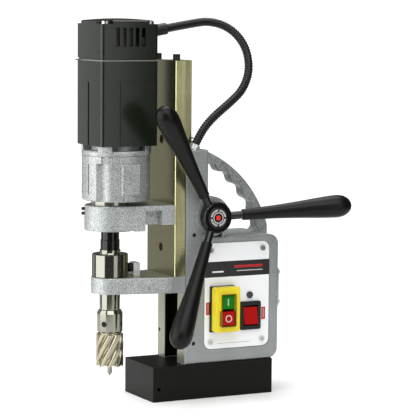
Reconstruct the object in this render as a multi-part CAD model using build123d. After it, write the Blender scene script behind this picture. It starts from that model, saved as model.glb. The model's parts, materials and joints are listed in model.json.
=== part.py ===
from build123d import *

import math
import os

# Magnetic drill press, in millimetres.
# Origin: centre of the electromagnet's bottom face.  +X points to the back of the machine, where the
# carry handle is; -X to the drill spindle; -Y to the side with the switches and the feed handles; +Z up.

# ---------------------------------------------------------------- driving dimensions
RUN_GAP = 0.05            # radial running clearance of shafts in bushes and bearings
SLIDE_GAP = 0.3           # gap between the sliding carriage and the stand

MAGNET_LENGTH, MAGNET_WIDTH, MAGNET_HEIGHT = 160.0, 80.0, 42.0
COIL_SLOT_LENGTH, COIL_SLOT_WIDTH, COIL_SLOT_DEPTH = 64.0, 60.0, 30.0
COIL_SLOT_RING = 12.0     # radial width of the slot that holds each winding
COIL_PITCH = 74.0         # distance between the two pole centres
POTTING_DEPTH = 5.0
MAGNET_BOLTS = [(x, y) for x in (6.0, 60.0) for y in (-22.0, 22.0)]
MAGNET_BOLT_RADIUS, MAGNET_BOLT_HEAD, MAGNET_BOLT_LENGTH = 3.0, 4.9, 16.0
BOLT_FLOOR = 8.0          # thickness of the casting's floor under the magnet bolts' heads
TETHER_HOLE_X, TETHER_HOLE_Z, TETHER_HOLE_RADIUS = -72.5, 15.0, 2.2

BODY_HALF = 38.0          # half width of the castings and of the slide plate
LEG_FRONT = -38.0 + SLIDE_GAP
UPRIGHT_BACK = -8.0
UPRIGHT_TOP = 297.5
BOX_BACK, BOX_TOP = 88.0, 193.4
BOX_CORNER = 12.0
RIM_RADIUS = 2.0
BOX_CAVITY_BACK = 31.0    # inner face of the far wall
PANEL_RECESS = 1.6

PANEL_LEFT, PANEL_RIGHT, PANEL_BOTTOM, PANEL_TOP = -12.0, 75.0, 58.5, 185.8
PANEL_CORNER, PANEL_THICK = 9.0, 1.8
PANEL_LIP = 5.0           # ledge of the casting that the panel rests on
PANEL_GAP = 0.8           # between the panel and the edge of its recess
PANEL_SCREWS = [(x, z) for x in (-4.2, 65.6) for z in (67.0, 177.6)]
PANEL_SCREW_HEAD, PANEL_SCREW_RADIUS, PANEL_PILLAR = 3.4, 1.55, 5.0
PANEL_FRONT = -BODY_HALF + PANEL_RECESS - PANEL_THICK
LEG_HOLE_Y, LEG_HOLE_Z, LEG_HOLE_RADIUS, LEG_HOLE_DEPTH = 32.0, 74.5, 2.4, 10.0
GLAND_Y, GLAND_Z, GLAND_HOLE, MAINS_BORE = 14.0, 128.0, 8.4, 4.2
REAR_SCREWS = [(y, z) for y in (-33.0, 33.0) for z in (110.0, 146.0)]
REAR_SCREW_RADIUS, REAR_SCREW_HEAD = 1.5, 3.0
REAR_COVER_HALF, REAR_COVER_THICK = (37.0, 24.0), 1.6
COMPONENTS = ((18, 84, 8), (44, 84, 10), (46, 150, 8), (20, 150, 12))     # x, z and half size

SWITCH_X, SWITCH_Z = 12.6, 106.8
SWITCH_HALF_X, SWITCH_HALF_Z = 16.5, 27.6
SWITCH_FRONT, SWITCH_BASE_FRONT = -52.0, -41.5
SWITCH_STEM_X, SWITCH_STEM_Z, SWITCH_STEM_BACK = 13.6, 21.6, -8.0
SHROUD_WALL, SHROUD_PROUD = 1.7, 3.2          # raised collar round the start button
BUTTON_X, BUTTON_HALF, BUTTON_GAP, BUTTON_STEM = 11.6, 8.4, 0.5, 4.0
START_Z, STOP_Z = 116.4, 96.8
START_PROUD, STOP_PROUD = 2.0, 3.6            # how far each cap stands in front of the cover
ROCKER_X, ROCKER_Z, ROCKER_HALF_X, ROCKER_HALF_Z = 49.2, 96.3, 14.0, 17.2
ROCKER_SHELL_X, ROCKER_SHELL_Z, ROCKER_SHELL_WALL = 10.8, 13.8, 1.2
ROCKER_PADDLE_HALF, ROCKER_PIVOT = 9.2, 2.4
ROCKER_OUTLINE = [(-7.0, -10.4), (-4.6, 0.0), (-3.6, 10.4), (5.0, 9.4), (9.0, 0.0), (5.0, -9.4)]
LAMP_X, LAMP_Z, LAMP_RADIUS, LAMP_STEM = 48.4, 121.3, 3.5, 2.4

LIP_HALF = 17.4           # half width of the guide channel at its mouth
GUIDE_HALF = 20.0         # half width of the guide channel behind its lips
LIP_BACK, GUIDE_BACK = -33.3, -21.7
GROOVE_HALF, GROOVE_BACK = 9.0, -12.0
GIB_THICK = 2.5
GIB_SCREW_Z = (66.6, 196.5)
GIB_SCREW_X = -26.2

PINION_X, PINION_Z = -3.5, 218.0
RACK_MODULE, PINION_TEETH = 1.5, 14
PITCH_RADIUS = RACK_MODULE * PINION_TEETH / 2
PRESSURE_ANGLE = math.radians(20)
FEED_FACE = 14.0          # width of the rack and of the pinion's teeth
RACK_X = PINION_X - PITCH_RADIUS
BOSS_RADIUS, BOSS_FRONT = 24.0, -42.8
JOURNAL_RADIUS = 8.0
BUSH_RADIUS = 11.0

HANDLE_HALF = 9.0         # half thickness of the carry handle
HANDLE_CENTRE_X, HANDLE_CENTRE_Z = -49.4, 160.1
HANDLE_OUTER, HANDLE_INNER = 144.0, 132.3
HANDLE_LEG, HANDLE_CORNER = 13.0, 12.0        # the rear leg's thickness and the round at its foot
SCALLOP_DEPTH, SCALLOP_PITCH, SCALLOP_PHASE = 2.4, 10.3, 42.0

PLATE_FRONT, PLATE_BACK = -52.0, -38.0
PLATE_BOTTOM, PLATE_TOP = 148.0, 403.0
TONGUE_BACK = -22.0
RACK_TOP = 312.0

SPINDLE_X = -118.5
MOTOR_X = -110.0
GEARBOX_X = -111.2
LOWER_BRACKET_BOTTOM, LOWER_NOSE_RADIUS = 129.0, 22.6
UPPER_BRACKET_TOP, UPPER_NOSE_RADIUS = 233.6, 30.5
UPPER_BRACKET_BOTTOM, UPPER_BRACKET_REAR_BOTTOM = 203.5, 210.5
UPPER_STEP_X = -88.5
BRACKET_SHOULDER_X = -56.0          # where a bracket reaches the slide's full width
BRACKET_SCREW_Y = (-19.0, 19.0)
UPPER_SCREW_Z = 219.0
NOSE_SCREW_Y, NOSE_SCREW_Z = 8.0, (223.5, 229.0)
SIDE_NOTCH_LENGTH, SIDE_NOTCH_TOP, SIDE_NOTCH_Y = 20.5, 227.5, 27.0
PLATE_HOLES_Z, PLATE_HOLE_RADIUS = (180.0, 309.0), 5.2
TOP_SCREWS = [(-45.0, -25.0), (-45.0, 25.0)]

ARBOR_NECK, ARBOR_BODY = 12.1, 15.4
SPINDLE_TOP_RADIUS = 11.3
COLLAR_TOP, COLLAR_RADIUS = 180.0, 12.3
RING_TOP, RING_RADIUS = 175.4, 21.3
NIPPLE_Y, NIPPLE_Z = -3.0, 158.0
SHANK_RADIUS = 9.5
SET_SCREW_Z, SET_SCREW_ANGLES = 92.5, (-140.0, -50.0)
CUTTER_LOW, CUTTER_HIGH, CUTTER_RADIUS = 41.0, 79.6, 16.3
FLUTE_COUNT, FLUTE_DEPTH, FLUTE_TWIST = 9, 3.0, 84.0
CUTTER_BORE, CUTTER_WEB = 11.4, 9.0
PILOT_RADIUS, PILOT_TIP_Z = 2.6, 29.0
SPRING_LOW, SPRING_RADIUS = 122.0, 4.4

GEARBOX_RADIUS, GEARBOX_BOTTOM, GEARBOX_TOP = 40.2, 239.0, 292.0
FLANGE_RADIUS, FLANGE_TOP, PAD_TOP = 40.6, 298.0, 304.0
GEARBOX_WALL = 5.5
NECK_RADIUS = 22.5
GROOVE_ANGLE, GROOVE_RADIUS, GROOVE_DEPTH, GROOVE_TOP = 136.7, 12.3, 4.5, 284.0   # hollow in each side
GROOVE_BOSS = 6.5                   # radius of the column that backs each hollow inside
RAISED_ANGLE, RAISED_WIDTH, RAISED_HEIGHT, RAISED_PROUD = 88.6, 24.3, 36.0, 1.9
FLUTE_ANGLE, FLUTE_WIDTH = 167.0, 1.8
PAD_REACH = 41.5                    # the pads end on a cylinder of this radius about the gearbox

MOTOR_HALF, MOTOR_CORNER, MOTOR_BULGE = 37.2, 4.6, 1.0
MOTOR_SEAM, MOTOR_TOP, MOTOR_CROWN = 402.6, 449.6, 2.4
MOTOR_WALL = 3.0
MOTOR_PANEL_HALF, MOTOR_PANEL_TOP, MOTOR_PANEL_PROUD = 12.8, 378.0, 0.9
SEAM_LIP, SEAM_PROUD, SEAM_GROOVE = 1.3, 0.9, 1.8
CAP_SCREW_HEAD, CAP_NOTCH = 5.0, 6.2
VENT_COUNT, VENT_PITCH, VENT_OFFSET, VENT_HALF = 5, 8.2, 0.4, 2.3
VENT_LOW, VENT_HIGH = 419.6, 441.4
UPPER_GLAND_Z = 435.2
BEARING_OUTER, LAY_BEARING, ROTOR_BEARING = 15.0, 6.5, 9.5
ROTOR_SHAFT, LAY_SHAFT = 4.0, 3.0

GEAR_MODULE = 0.9
GEAR_PRESSURE = math.radians(25)
ROTOR_TEETH, LAY_WHEEL_TEETH, LAY_PINION_TEETH, SPINDLE_TEETH = 8, 32, 9, 36
GEAR_BACKLASH = 0.16
LAY_FIRST = GEAR_MODULE * (ROTOR_TEETH + LAY_WHEEL_TEETH) / 2
LAY_SECOND = GEAR_MODULE * (LAY_PINION_TEETH + SPINDLE_TEETH) / 2
LAY_X = (LAY_SECOND**2 - LAY_FIRST**2 - SPINDLE_X**2 + MOTOR_X**2) / (2 * (MOTOR_X - SPINDLE_X))
WHEEL_Z, SPINDLE_GEAR_Z = 280.0, 256.0
WHEEL_WIDTH, SPINDLE_GEAR_WIDTH = 9.0, 16.0
LAY_Y = math.sqrt(LAY_SECOND**2 - (LAY_X - SPINDLE_X) ** 2)

HUB_RADIUS, HUB_FRONT = 18.6, -55.4
HUB_BACK = BOSS_FRONT - 0.5
ARM_COUNT, ARM_PHASE, ARM_TILT = 3, 4.5, 15.5
ARM_ROOT_Y, ROD_START = -45.2, 12.7
ROD_RADIUS, GRIP_START, GRIP_END = 4.7, 34.0, 168.0
GRIP_PROFILE = [(6.6, 34.0), (7.9, 70.0), (10.9, 112.0), (13.4, 144.0), (11.6, 159.5)]

CONDUIT_RADIUS = 5.25
CONDUIT_ROUTE = [
    (-21.0, -28.0, 303.3), (-12.4, -28.0, 320.2), (4.5, -27.5, 337.0), (26.5, -25.5, 352.5),
    (46.0, -21.5, 367.5), (57.5, -16.5, 391.0), (54.5, -11.5, 419.0), (37.0, -6.5, 440.5),
    (10.0, -2.5, 449.5), (-19.0, -0.5, 445.0), (-47.0, 0.0, 440.0),
]
CONDUIT_FOOT = (-24.0, -28.0)

GEARBOX_SCREW_RING, MOTOR_POST = 35.6, 28.0
GEARBOX_SCREWS = [
    (GEARBOX_X + GEARBOX_SCREW_RING * along, GEARBOX_SCREW_RING * across)
    for along, across in ((1, 0), (0, 1), (-1, 0), (0, -1))
]
MOTOR_POSTS = [(MOTOR_X + sx * MOTOR_POST, sy * MOTOR_POST) for sx in (-1, 1) for sy in (-1, 1)]

PARTS = "parts"
os.makedirs(PARTS, exist_ok=True)


# ---------------------------------------------------------------- helpers
def save(node, shape):
    """Write one named sub-part."""
    export_step(shape, f"{PARTS}/{node}.step")


def block(low, high):
    """Box between two opposite corners."""
    size = [b - a for a, b in zip(low, high)]
    centre = [(a + b) / 2 for a, b in zip(low, high)]
    return Location(centre) * Box(*size)


def rod_z(x, y, low, high, radius):
    """Cylinder parallel to Z."""
    return Location((x, y, (low + high) / 2)) * Cylinder(radius, high - low)


def rod_y(x, z, low, high, radius):
    """Cylinder parallel to Y."""
    return Location((x, (low + high) / 2, z), (90, 0, 0)) * Cylinder(radius, high - low)


def rod_x(y, z, low, high, radius):
    """Cylinder parallel to X."""
    return Location(((low + high) / 2, y, z), (0, 90, 0)) * Cylinder(radius, high - low)


def tube_z(x, y, low, high, outer, inner):
    """Hollow cylinder parallel to Z."""
    return rod_z(x, y, low, high, outer) - rod_z(x, y, low - 1, high + 1, inner)


def turned(points):
    """Solid of revolution about Z from (radius, height) points of a closed outline."""
    outline = Polyline(*[(r, 0, z) for r, z in points], close=True)
    return revolve(Face(Wire(outline.edges())), Axis.Z, 360)


def plate_y(points, low, high):
    """Prism of an (x, z) outline between two values of y."""
    outline = Polyline(*[(x, low, z) for x, z in points], close=True)
    return extrude(Face(Wire(outline.edges())), amount=high - low, dir=(0, 1, 0))


def rounded_slab(x, y, low, high, half_x, half_y, corner):
    """Upright prism with a rounded rectangular section."""
    outline = RectangleRounded(2 * half_x, 2 * half_y, corner)
    return Location((x, y, low)) * extrude(outline, amount=high - low)


def ring_of(count, phase=0.0):
    """Equally spaced angles in degrees."""
    return [phase + 360.0 * i / count for i in range(count)]


def union(shapes):
    """Fuse a list of shapes into one."""
    total = shapes[0]
    for shape in shapes[1:]:
        total = total + shape
    return total


def group(shapes):
    """Keep separate solids together in one node."""
    return Compound(children=[solid for shape in shapes for solid in shape.solids()])


def involute(base, radius):
    """Polar angle of an involute of the base circle at a radius."""
    ratio = max(radius / base, 1.0)
    roll = math.sqrt(ratio**2 - 1)
    return roll - math.atan(roll)


def gear_outline(module, teeth, pressure, addendum, backlash, turn):
    """Outline of an involute spur gear, with one tooth centred on the angle turn."""
    pitch = module * teeth / 2
    base = pitch * math.cos(pressure)
    tip = pitch + addendum * module
    root = pitch - (addendum + 0.3) * module
    half_pitch_tooth = math.pi / (2 * teeth) - backlash / (4 * pitch)
    flank_start = max(root, base)
    steps = 5
    radii = [flank_start + (tip - flank_start) * i / steps for i in range(steps + 1)]
    points = []
    for tooth in range(teeth):
        centre = turn + 2 * math.pi * tooth / teeth
        half = [half_pitch_tooth + involute(base, pitch) - involute(base, r) for r in radii]
        flank = list(zip(radii, half))
        if root < base:
            flank = [(root, half[0])] + flank
        rise = [(r, centre - a) for r, a in flank]
        fall = [(r, centre + a) for r, a in reversed(flank)]
        points += [(r * math.cos(a), r * math.sin(a)) for r, a in rise + fall]
    return points


def spur_gear(module, teeth, pressure, addendum, width, turn=0.0):
    """Spur gear about Z, resting on z = 0."""
    points = gear_outline(module, teeth, pressure, addendum, GEAR_BACKLASH, turn)
    outline = Polyline(*points, close=True)
    return extrude(Face(Wire(outline.edges())), amount=width)


def cap_screw_z(x, y, seat, head_radius, head_height, shank_radius, shank_length):
    """Socket screw with its head above the seat and its shank below."""
    head = rod_z(x, y, seat, seat + head_height, head_radius)
    socket = Location((x, y, seat + head_height * 0.45)) * extrude(
        RegularPolygon(head_radius * 0.55, 6), amount=head_height
    )
    return head + rod_z(x, y, seat - shank_length, seat + 0.5, shank_radius) - socket


def cap_screw_y(x, z, seat, head_radius, head_height, shank_radius, shank_length):
    """Cross-slot screw whose head stands out towards -Y from the seat."""
    head = rod_y(x, z, seat - head_height, seat, head_radius)
    shank = rod_y(x, z, seat - 0.5, seat + shank_length, shank_radius)
    slot = block(
        (x - head_radius * 0.64, seat - head_height - 1, z - head_radius * 0.17),
        (x + head_radius * 0.64, seat - head_height * 0.25, z + head_radius * 0.17),
    )
    cross = slot.rotate(Axis((x, 0, z), (0, 1, 0)), 90)
    return head + shank - slot - cross


# ---------------------------------------------------------------- magnet
def coil_slot(x, low, high, grow=0.0):
    """Rectangular ring about one pole of the magnet."""
    outer = rounded_slab(x, 0, low, high, COIL_SLOT_LENGTH / 2 + grow, COIL_SLOT_WIDTH / 2 + grow, 6)
    inner_x = COIL_SLOT_LENGTH / 2 - COIL_SLOT_RING - grow
    inner_y = COIL_SLOT_WIDTH / 2 - COIL_SLOT_RING - grow
    return outer - rounded_slab(x, 0, low - 1, high + 1, inner_x, inner_y, 3)


def make_magnet():
    """Steel block with two wound poles, potted flush with its face."""
    body = block(
        (-MAGNET_LENGTH / 2, -MAGNET_WIDTH / 2, 0), (MAGNET_LENGTH / 2, MAGNET_WIDTH / 2, MAGNET_HEIGHT)
    )
    body = chamfer(body.edges().filter_by(Axis.Z), 0.8)
    poles = (-COIL_PITCH / 2, COIL_PITCH / 2)
    for x in poles:
        body = body - coil_slot(x, -1, COIL_SLOT_DEPTH)
    side = -MAGNET_WIDTH / 2
    body = body - rod_y(TETHER_HOLE_X, TETHER_HOLE_Z, side - 1, side + 9, TETHER_HOLE_RADIUS)
    for x, y in MAGNET_BOLTS:
        body = body - rod_z(x, y, MAGNET_HEIGHT - 10, MAGNET_HEIGHT + 1, MAGNET_BOLT_RADIUS)
    save("magnet_body", body)
    save("magnet_coils", group([coil_slot(x, POTTING_DEPTH, COIL_SLOT_DEPTH - 0.5, -0.5) for x in poles]))
    save("magnet_potting", group([coil_slot(x, 0, POTTING_DEPTH) for x in poles]))


# ---------------------------------------------------------------- stand casting
def scalloped_arc(first, last, count):
    """Points of the grip's inner edge: a circle whose radius ripples with the finger pitch."""
    points = []
    for i in range(count):
        angle = first + (last - first) * i / (count - 1)
        ripple = SCALLOP_DEPTH * math.cos(2 * math.pi * (angle - SCALLOP_PHASE) / SCALLOP_PITCH)
        radius = HANDLE_INNER + ripple
        x = HANDLE_CENTRE_X + radius * math.cos(math.radians(angle))
        z = HANDLE_CENTRE_Z + radius * math.sin(math.radians(angle))
        points.append((x, z))
    return points


def on_handle_arc(radius, angle):
    """Point of a circle about the handle's centre of curvature, in the plane y = 0."""
    x = HANDLE_CENTRE_X + radius * math.cos(math.radians(angle))
    z = HANDLE_CENTRE_Z + radius * math.sin(math.radians(angle))
    return (x, 0, z)


def make_carry_handle():
    """Arched grip with finger scallops, from the top of the upright to the back of the box."""
    start, finish = on_handle_arc(HANDLE_OUTER, 72), on_handle_arc(HANDLE_OUTER, 18)
    outer = ThreePointArc(start, on_handle_arc(HANDLE_OUTER, 45), finish)
    grip = Spline(*[(x, 0, z) for x, z in scalloped_arc(61.0, 23.5, 24)])
    top, bottom = grip @ 0, grip @ 1
    inner_x = BOX_BACK - HANDLE_LEG
    foot = BOX_TOP - 8
    edges = [
        outer,
        Line(finish, (BOX_BACK - 0.6, 0, foot)),
        Line((BOX_BACK - 0.6, 0, foot), (inner_x, 0, foot)),
        Line((inner_x, 0, foot), bottom),
        grip,
        Line(top, (UPRIGHT_BACK - 4, 0, top.Z + 7)),
        Line((UPRIGHT_BACK - 4, 0, top.Z + 7), start),
    ]
    face = Face(Wire([edge for item in edges for edge in item.edges()]))
    handle = extrude(face, amount=HANDLE_HALF, dir=(0, 1, 0), both=True)
    rims = [e for e in handle.edges() if abs(abs(e.center().Y) - HANDLE_HALF) < 0.01 and e.length > 60]
    return fillet(rims, 2.5)


def soften_rims(body):
    """Round the edges of a casting's two flat sides."""
    rims = [e for e in body.edges() if abs(abs(e.center().Y) - BODY_HALF) < 0.01]
    return fillet(rims, RIM_RADIUS)


def make_housing():
    """Main casting: two guide legs, switch box, pinion boss and carry handle."""
    box_outline = [
        (LEG_FRONT, MAGNET_HEIGHT), (BOX_BACK, MAGNET_HEIGHT), (BOX_BACK, BOX_TOP), (LEG_FRONT, BOX_TOP),
    ]
    box = plate_y(box_outline, -BODY_HALF, BODY_HALF)
    corners = [e for e in box.edges().filter_by(Axis.Y) if e.center().X > BOX_BACK - 1]
    box = soften_rims(fillet(corners, BOX_CORNER))
    upright = block((LEG_FRONT, -BODY_HALF, BOX_TOP - 20), (UPRIGHT_BACK, BODY_HALF, UPRIGHT_TOP))
    upright = soften_rims(upright)
    boss = rod_y(PINION_X, PINION_Z, -BODY_HALF, BODY_HALF, BOSS_RADIUS)
    web = block((11.0, -BODY_HALF + 1, BOX_TOP - 5), (14.5, BODY_HALF - 1, PINION_Z - 15))
    body = box + upright + boss + web
    boss_steps = rod_y(PINION_X, PINION_Z, -BODY_HALF - 2.4, -BODY_HALF + 4, BOSS_RADIUS - 0.8)
    boss_steps = boss_steps + rod_y(PINION_X, PINION_Z, BOSS_FRONT, -BODY_HALF, BOSS_RADIUS - 2.6)
    body = body + boss_steps + make_carry_handle()
    foot_x, foot_z = BOX_BACK - HANDLE_LEG - HANDLE_CORNER, BOX_TOP + HANDLE_CORNER
    corner = block((foot_x, -HANDLE_HALF, BOX_TOP - 3), (foot_x + HANDLE_CORNER + 1, HANDLE_HALF, foot_z))
    body = body + (corner - rod_y(foot_x, foot_z, -HANDLE_HALF - 1, HANDLE_HALF + 1, HANDLE_CORNER))

    top = UPRIGHT_TOP + 1
    body = body - block((LEG_FRONT - 1, -LIP_HALF, MAGNET_HEIGHT - 1), (GUIDE_BACK, LIP_HALF, top))
    body = body - block((LIP_BACK, -GUIDE_HALF, MAGNET_HEIGHT - 1), (GUIDE_BACK, GUIDE_HALF, top))
    gib_low, gib_high = MAGNET_HEIGHT + 4, UPRIGHT_TOP - 3
    gib_y = -GUIDE_HALF - GIB_THICK
    body = body - block((LIP_BACK, gib_y, gib_low), (GUIDE_BACK, -GUIDE_HALF + 1, gib_high))
    body = body - block((GUIDE_BACK - 1, -GROOVE_HALF, MAGNET_HEIGHT - 1), (GROOVE_BACK, GROOVE_HALF, top))
    body = body - rod_y(PINION_X, PINION_Z, -GROOVE_HALF, GROOVE_HALF, PITCH_RADIUS + 3.2)
    body = body - rod_y(PINION_X, PINION_Z, -60, 60, JOURNAL_RADIUS + 0.4)
    for low, high in ((-60, -GROOVE_HALF - 4), (GROOVE_HALF + 4, 60)):
        body = body - rod_y(PINION_X, PINION_Z, low, high, BUSH_RADIUS)
    for z in GIB_SCREW_Z:
        body = body - rod_y(GIB_SCREW_X, z, -60, -GUIDE_HALF, 2.5)

    cavity = block(
        (PANEL_LEFT + PANEL_LIP, -60, PANEL_BOTTOM + PANEL_LIP),
        (PANEL_RIGHT - PANEL_LIP, BOX_CAVITY_BACK, PANEL_TOP - PANEL_LIP),
    )
    body = body - cavity
    recess = plate_y(panel_outline(PANEL_GAP), -60, -BODY_HALF + PANEL_RECESS)
    body = body - recess
    for x, z in PANEL_SCREWS:
        pillar = rod_y(x, z, -BODY_HALF + PANEL_RECESS, BOX_CAVITY_BACK + 2, PANEL_PILLAR)
        body = body + pillar - rod_y(x, z, -60, -BODY_HALF + 14, PANEL_SCREW_RADIUS + RUN_GAP)
    for x, y in MAGNET_BOLTS:
        body = body - rod_z(x, y, MAGNET_HEIGHT - 1, MAGNET_HEIGHT + 10, MAGNET_BOLT_RADIUS + 0.2)
        head_room = (MAGNET_HEIGHT + BOLT_FLOOR, PANEL_BOTTOM + PANEL_LIP + 1)
        body = body - rod_z(x, y, *head_room, MAGNET_BOLT_HEAD + 0.3)
    body = body - rod_x(GLAND_Y, GLAND_Z, PANEL_RIGHT - PANEL_LIP - 1, BOX_BACK + 1, GLAND_HOLE)
    body = body - rod_x(LEG_HOLE_Y, LEG_HOLE_Z, LEG_FRONT - 1, LEG_FRONT + LEG_HOLE_DEPTH, LEG_HOLE_RADIUS)
    for y, z in REAR_SCREWS:
        body = body - rod_x(y, z, BOX_BACK - 6, BOX_BACK + 1, REAR_SCREW_RADIUS + 0.1)
    body = body - rod_z(*CONDUIT_FOOT, UPRIGHT_TOP - 12, UPRIGHT_TOP + 1, 4.5)
    save("housing", body)


def panel_outline(grow=0.0):
    """Rounded rectangle of the switch panel, as points with arcs of a few steps at each corner."""
    radius = PANEL_CORNER + grow
    inner = [
        (PANEL_RIGHT - PANEL_CORNER, PANEL_TOP - PANEL_CORNER, 0),
        (PANEL_LEFT + PANEL_CORNER, PANEL_TOP - PANEL_CORNER, 90),
        (PANEL_LEFT + PANEL_CORNER, PANEL_BOTTOM + PANEL_CORNER, 180),
        (PANEL_RIGHT - PANEL_CORNER, PANEL_BOTTOM + PANEL_CORNER, 270),
    ]
    points = []
    for x, z, start in inner:
        for step in range(7):
            angle = math.radians(start + 15 * step)
            points.append((x + radius * math.cos(angle), z + radius * math.sin(angle)))
    return points


def make_guide():
    """Gib strip that takes up the slide's play, its screws, and the magnet's bolts."""
    strip = block(
        (LIP_BACK + 0.3, -GUIDE_HALF - GIB_THICK, MAGNET_HEIGHT + 5),
        (GUIDE_BACK - 1.5, -GUIDE_HALF, UPRIGHT_TOP - 4),
    )
    save("gib_strip", strip)
    screws = []
    for z in GIB_SCREW_Z:
        screw = rod_y(GIB_SCREW_X, z, -BODY_HALF + 2, -GUIDE_HALF - GIB_THICK, 2.4)
        socket = Location((GIB_SCREW_X, -BODY_HALF + 1, z), (90, 0, 0)) * extrude(
            RegularPolygon(1.3, 6), amount=-4
        )
        screws.append(screw - socket)
    save("gib_screws", group(screws))
    bolts = []
    seat = MAGNET_HEIGHT + BOLT_FLOOR
    for x, y in MAGNET_BOLTS:
        shank = MAGNET_BOLT_RADIUS - RUN_GAP
        bolts.append(cap_screw_z(x, y, seat, MAGNET_BOLT_HEAD, 5.0, shank, MAGNET_BOLT_LENGTH))
    save("magnet_bolts", group(bolts))


# ---------------------------------------------------------------- switch panel
def make_panel():
    """White plate with the switches, the lamp and its four screws."""
    plate = plate_y(panel_outline(), PANEL_FRONT, PANEL_FRONT + PANEL_THICK)
    for x, z in PANEL_SCREWS:
        plate = plate - rod_y(x, z, -60, 0, 1.9)
    plate = plate - block(
        (SWITCH_X - SWITCH_STEM_X - 0.4, -60, SWITCH_Z - SWITCH_STEM_Z - 0.4),
        (SWITCH_X + SWITCH_STEM_X + 0.4, 0, SWITCH_Z + SWITCH_STEM_Z + 0.4),
    )
    plate = plate - block(
        (ROCKER_X - ROCKER_SHELL_X - 0.2, -60, ROCKER_Z - ROCKER_SHELL_Z - 0.2),
        (ROCKER_X + ROCKER_SHELL_X + 0.2, 0, ROCKER_Z + ROCKER_SHELL_Z + 0.2),
    )
    plate = plate - rod_y(LAMP_X, LAMP_Z, -60, 0, LAMP_STEM + 0.2)
    save("panel_plate", plate)


def make_motor_switch():
    """Guarded start and stop switch: black base, yellow cover, two push buttons."""
    base = block(
        (SWITCH_X - SWITCH_HALF_X - 1.5, SWITCH_BASE_FRONT, SWITCH_Z - SWITCH_HALF_Z),
        (SWITCH_X + SWITCH_HALF_X - 3.0, PANEL_FRONT, SWITCH_Z + SWITCH_HALF_Z),
    )
    stem = block(
        (SWITCH_X - SWITCH_STEM_X, PANEL_FRONT, SWITCH_Z - SWITCH_STEM_Z),
        (SWITCH_X + SWITCH_STEM_X, SWITCH_STEM_BACK, SWITCH_Z + SWITCH_STEM_Z),
    )
    well = block(
        (SWITCH_X - SWITCH_STEM_X + 2.1, -60, SWITCH_Z - SWITCH_STEM_Z + 2.1),
        (SWITCH_X + SWITCH_STEM_X - 0.6, -22, SWITCH_Z + SWITCH_STEM_Z - 2.1),
    )
    save("switch_base", base + stem - well)

    cover = block(
        (SWITCH_X - SWITCH_HALF_X, SWITCH_FRONT, SWITCH_Z - SWITCH_HALF_Z + 0.6),
        (SWITCH_X + SWITCH_HALF_X, SWITCH_BASE_FRONT, SWITCH_Z + SWITCH_HALF_Z - 0.6),
    )
    cover = fillet(cover.edges().filter_by(Axis.Y), 3.0)
    cover = fillet(cover.faces().sort_by(Axis.Y)[0].edges(), 1.2)
    window = block(
        (BUTTON_X - BUTTON_HALF - BUTTON_GAP, -60, STOP_Z - BUTTON_HALF - BUTTON_GAP),
        (BUTTON_X + BUTTON_HALF + BUTTON_GAP, 0, START_Z + BUTTON_HALF + BUTTON_GAP),
    )
    shroud_half = BUTTON_HALF + SHROUD_WALL
    shroud = block(
        (BUTTON_X - shroud_half, SWITCH_FRONT - SHROUD_PROUD, START_Z - shroud_half),
        (BUTTON_X + shroud_half, SWITCH_FRONT + 1, START_Z + shroud_half),
    )
    save("switch_cover", cover + shroud - window)

    for node, z, proud in (("start_button", START_Z, START_PROUD), ("stop_button", STOP_Z, STOP_PROUD)):
        front = SWITCH_FRONT - proud
        cap = block(
            (BUTTON_X - BUTTON_HALF, front, z - BUTTON_HALF), (BUTTON_X + BUTTON_HALF, -46, z + BUTTON_HALF)
        )
        cap = fillet(cap.faces().sort_by(Axis.Y)[0].edges(), 0.8)
        save(node, cap + rod_y(BUTTON_X, z, -47, -28, BUTTON_STEM))


def make_magnet_switch():
    """Rocker switch for the magnet in its bezel, with the indicator lamp above."""
    flange = block(
        (ROCKER_X - ROCKER_HALF_X, PANEL_FRONT - 3.0, ROCKER_Z - ROCKER_HALF_Z),
        (ROCKER_X + ROCKER_HALF_X, PANEL_FRONT, ROCKER_Z + ROCKER_HALF_Z),
    )
    flange = fillet(flange.edges().filter_by(Axis.Y), 2.5)
    flange = fillet(flange.faces().sort_by(Axis.Y)[0].edges(), 1.0)
    shell = block(
        (ROCKER_X - ROCKER_SHELL_X, PANEL_FRONT, ROCKER_Z - ROCKER_SHELL_Z),
        (ROCKER_X + ROCKER_SHELL_X, -12, ROCKER_Z + ROCKER_SHELL_Z),
    )
    inner_x, inner_z = ROCKER_SHELL_X - ROCKER_SHELL_WALL, ROCKER_SHELL_Z - ROCKER_SHELL_WALL - 0.3
    hollow = block(
        (ROCKER_X - inner_x, -60, ROCKER_Z - inner_z), (ROCKER_X + inner_x, -16, ROCKER_Z + inner_z)
    )
    save("rocker_bezel", flange + shell - hollow)

    pivot_y = PANEL_FRONT + 2.0
    face_line = [(y + pivot_y, z + ROCKER_Z) for y, z in ROCKER_OUTLINE]
    half = ROCKER_PADDLE_HALF
    wire = Polyline(*[(ROCKER_X - half, y, z) for y, z in face_line], close=True)
    paddle = extrude(Face(Wire(wire.edges())), amount=2 * half, dir=(1, 0, 0))
    pivot = rod_x(pivot_y, ROCKER_Z, ROCKER_X - half - 0.3, ROCKER_X + half + 0.3, ROCKER_PIVOT)
    save("magnet_rocker", paddle + pivot)

    lens = rod_y(LAMP_X, LAMP_Z, PANEL_FRONT - 1.8, PANEL_FRONT, LAMP_RADIUS)
    lens = fillet(lens.faces().sort_by(Axis.Y)[0].edges(), 0.8)
    save("indicator_lamp", lens + rod_y(LAMP_X, LAMP_Z, PANEL_FRONT - 0.5, -22, LAMP_STEM))


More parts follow.
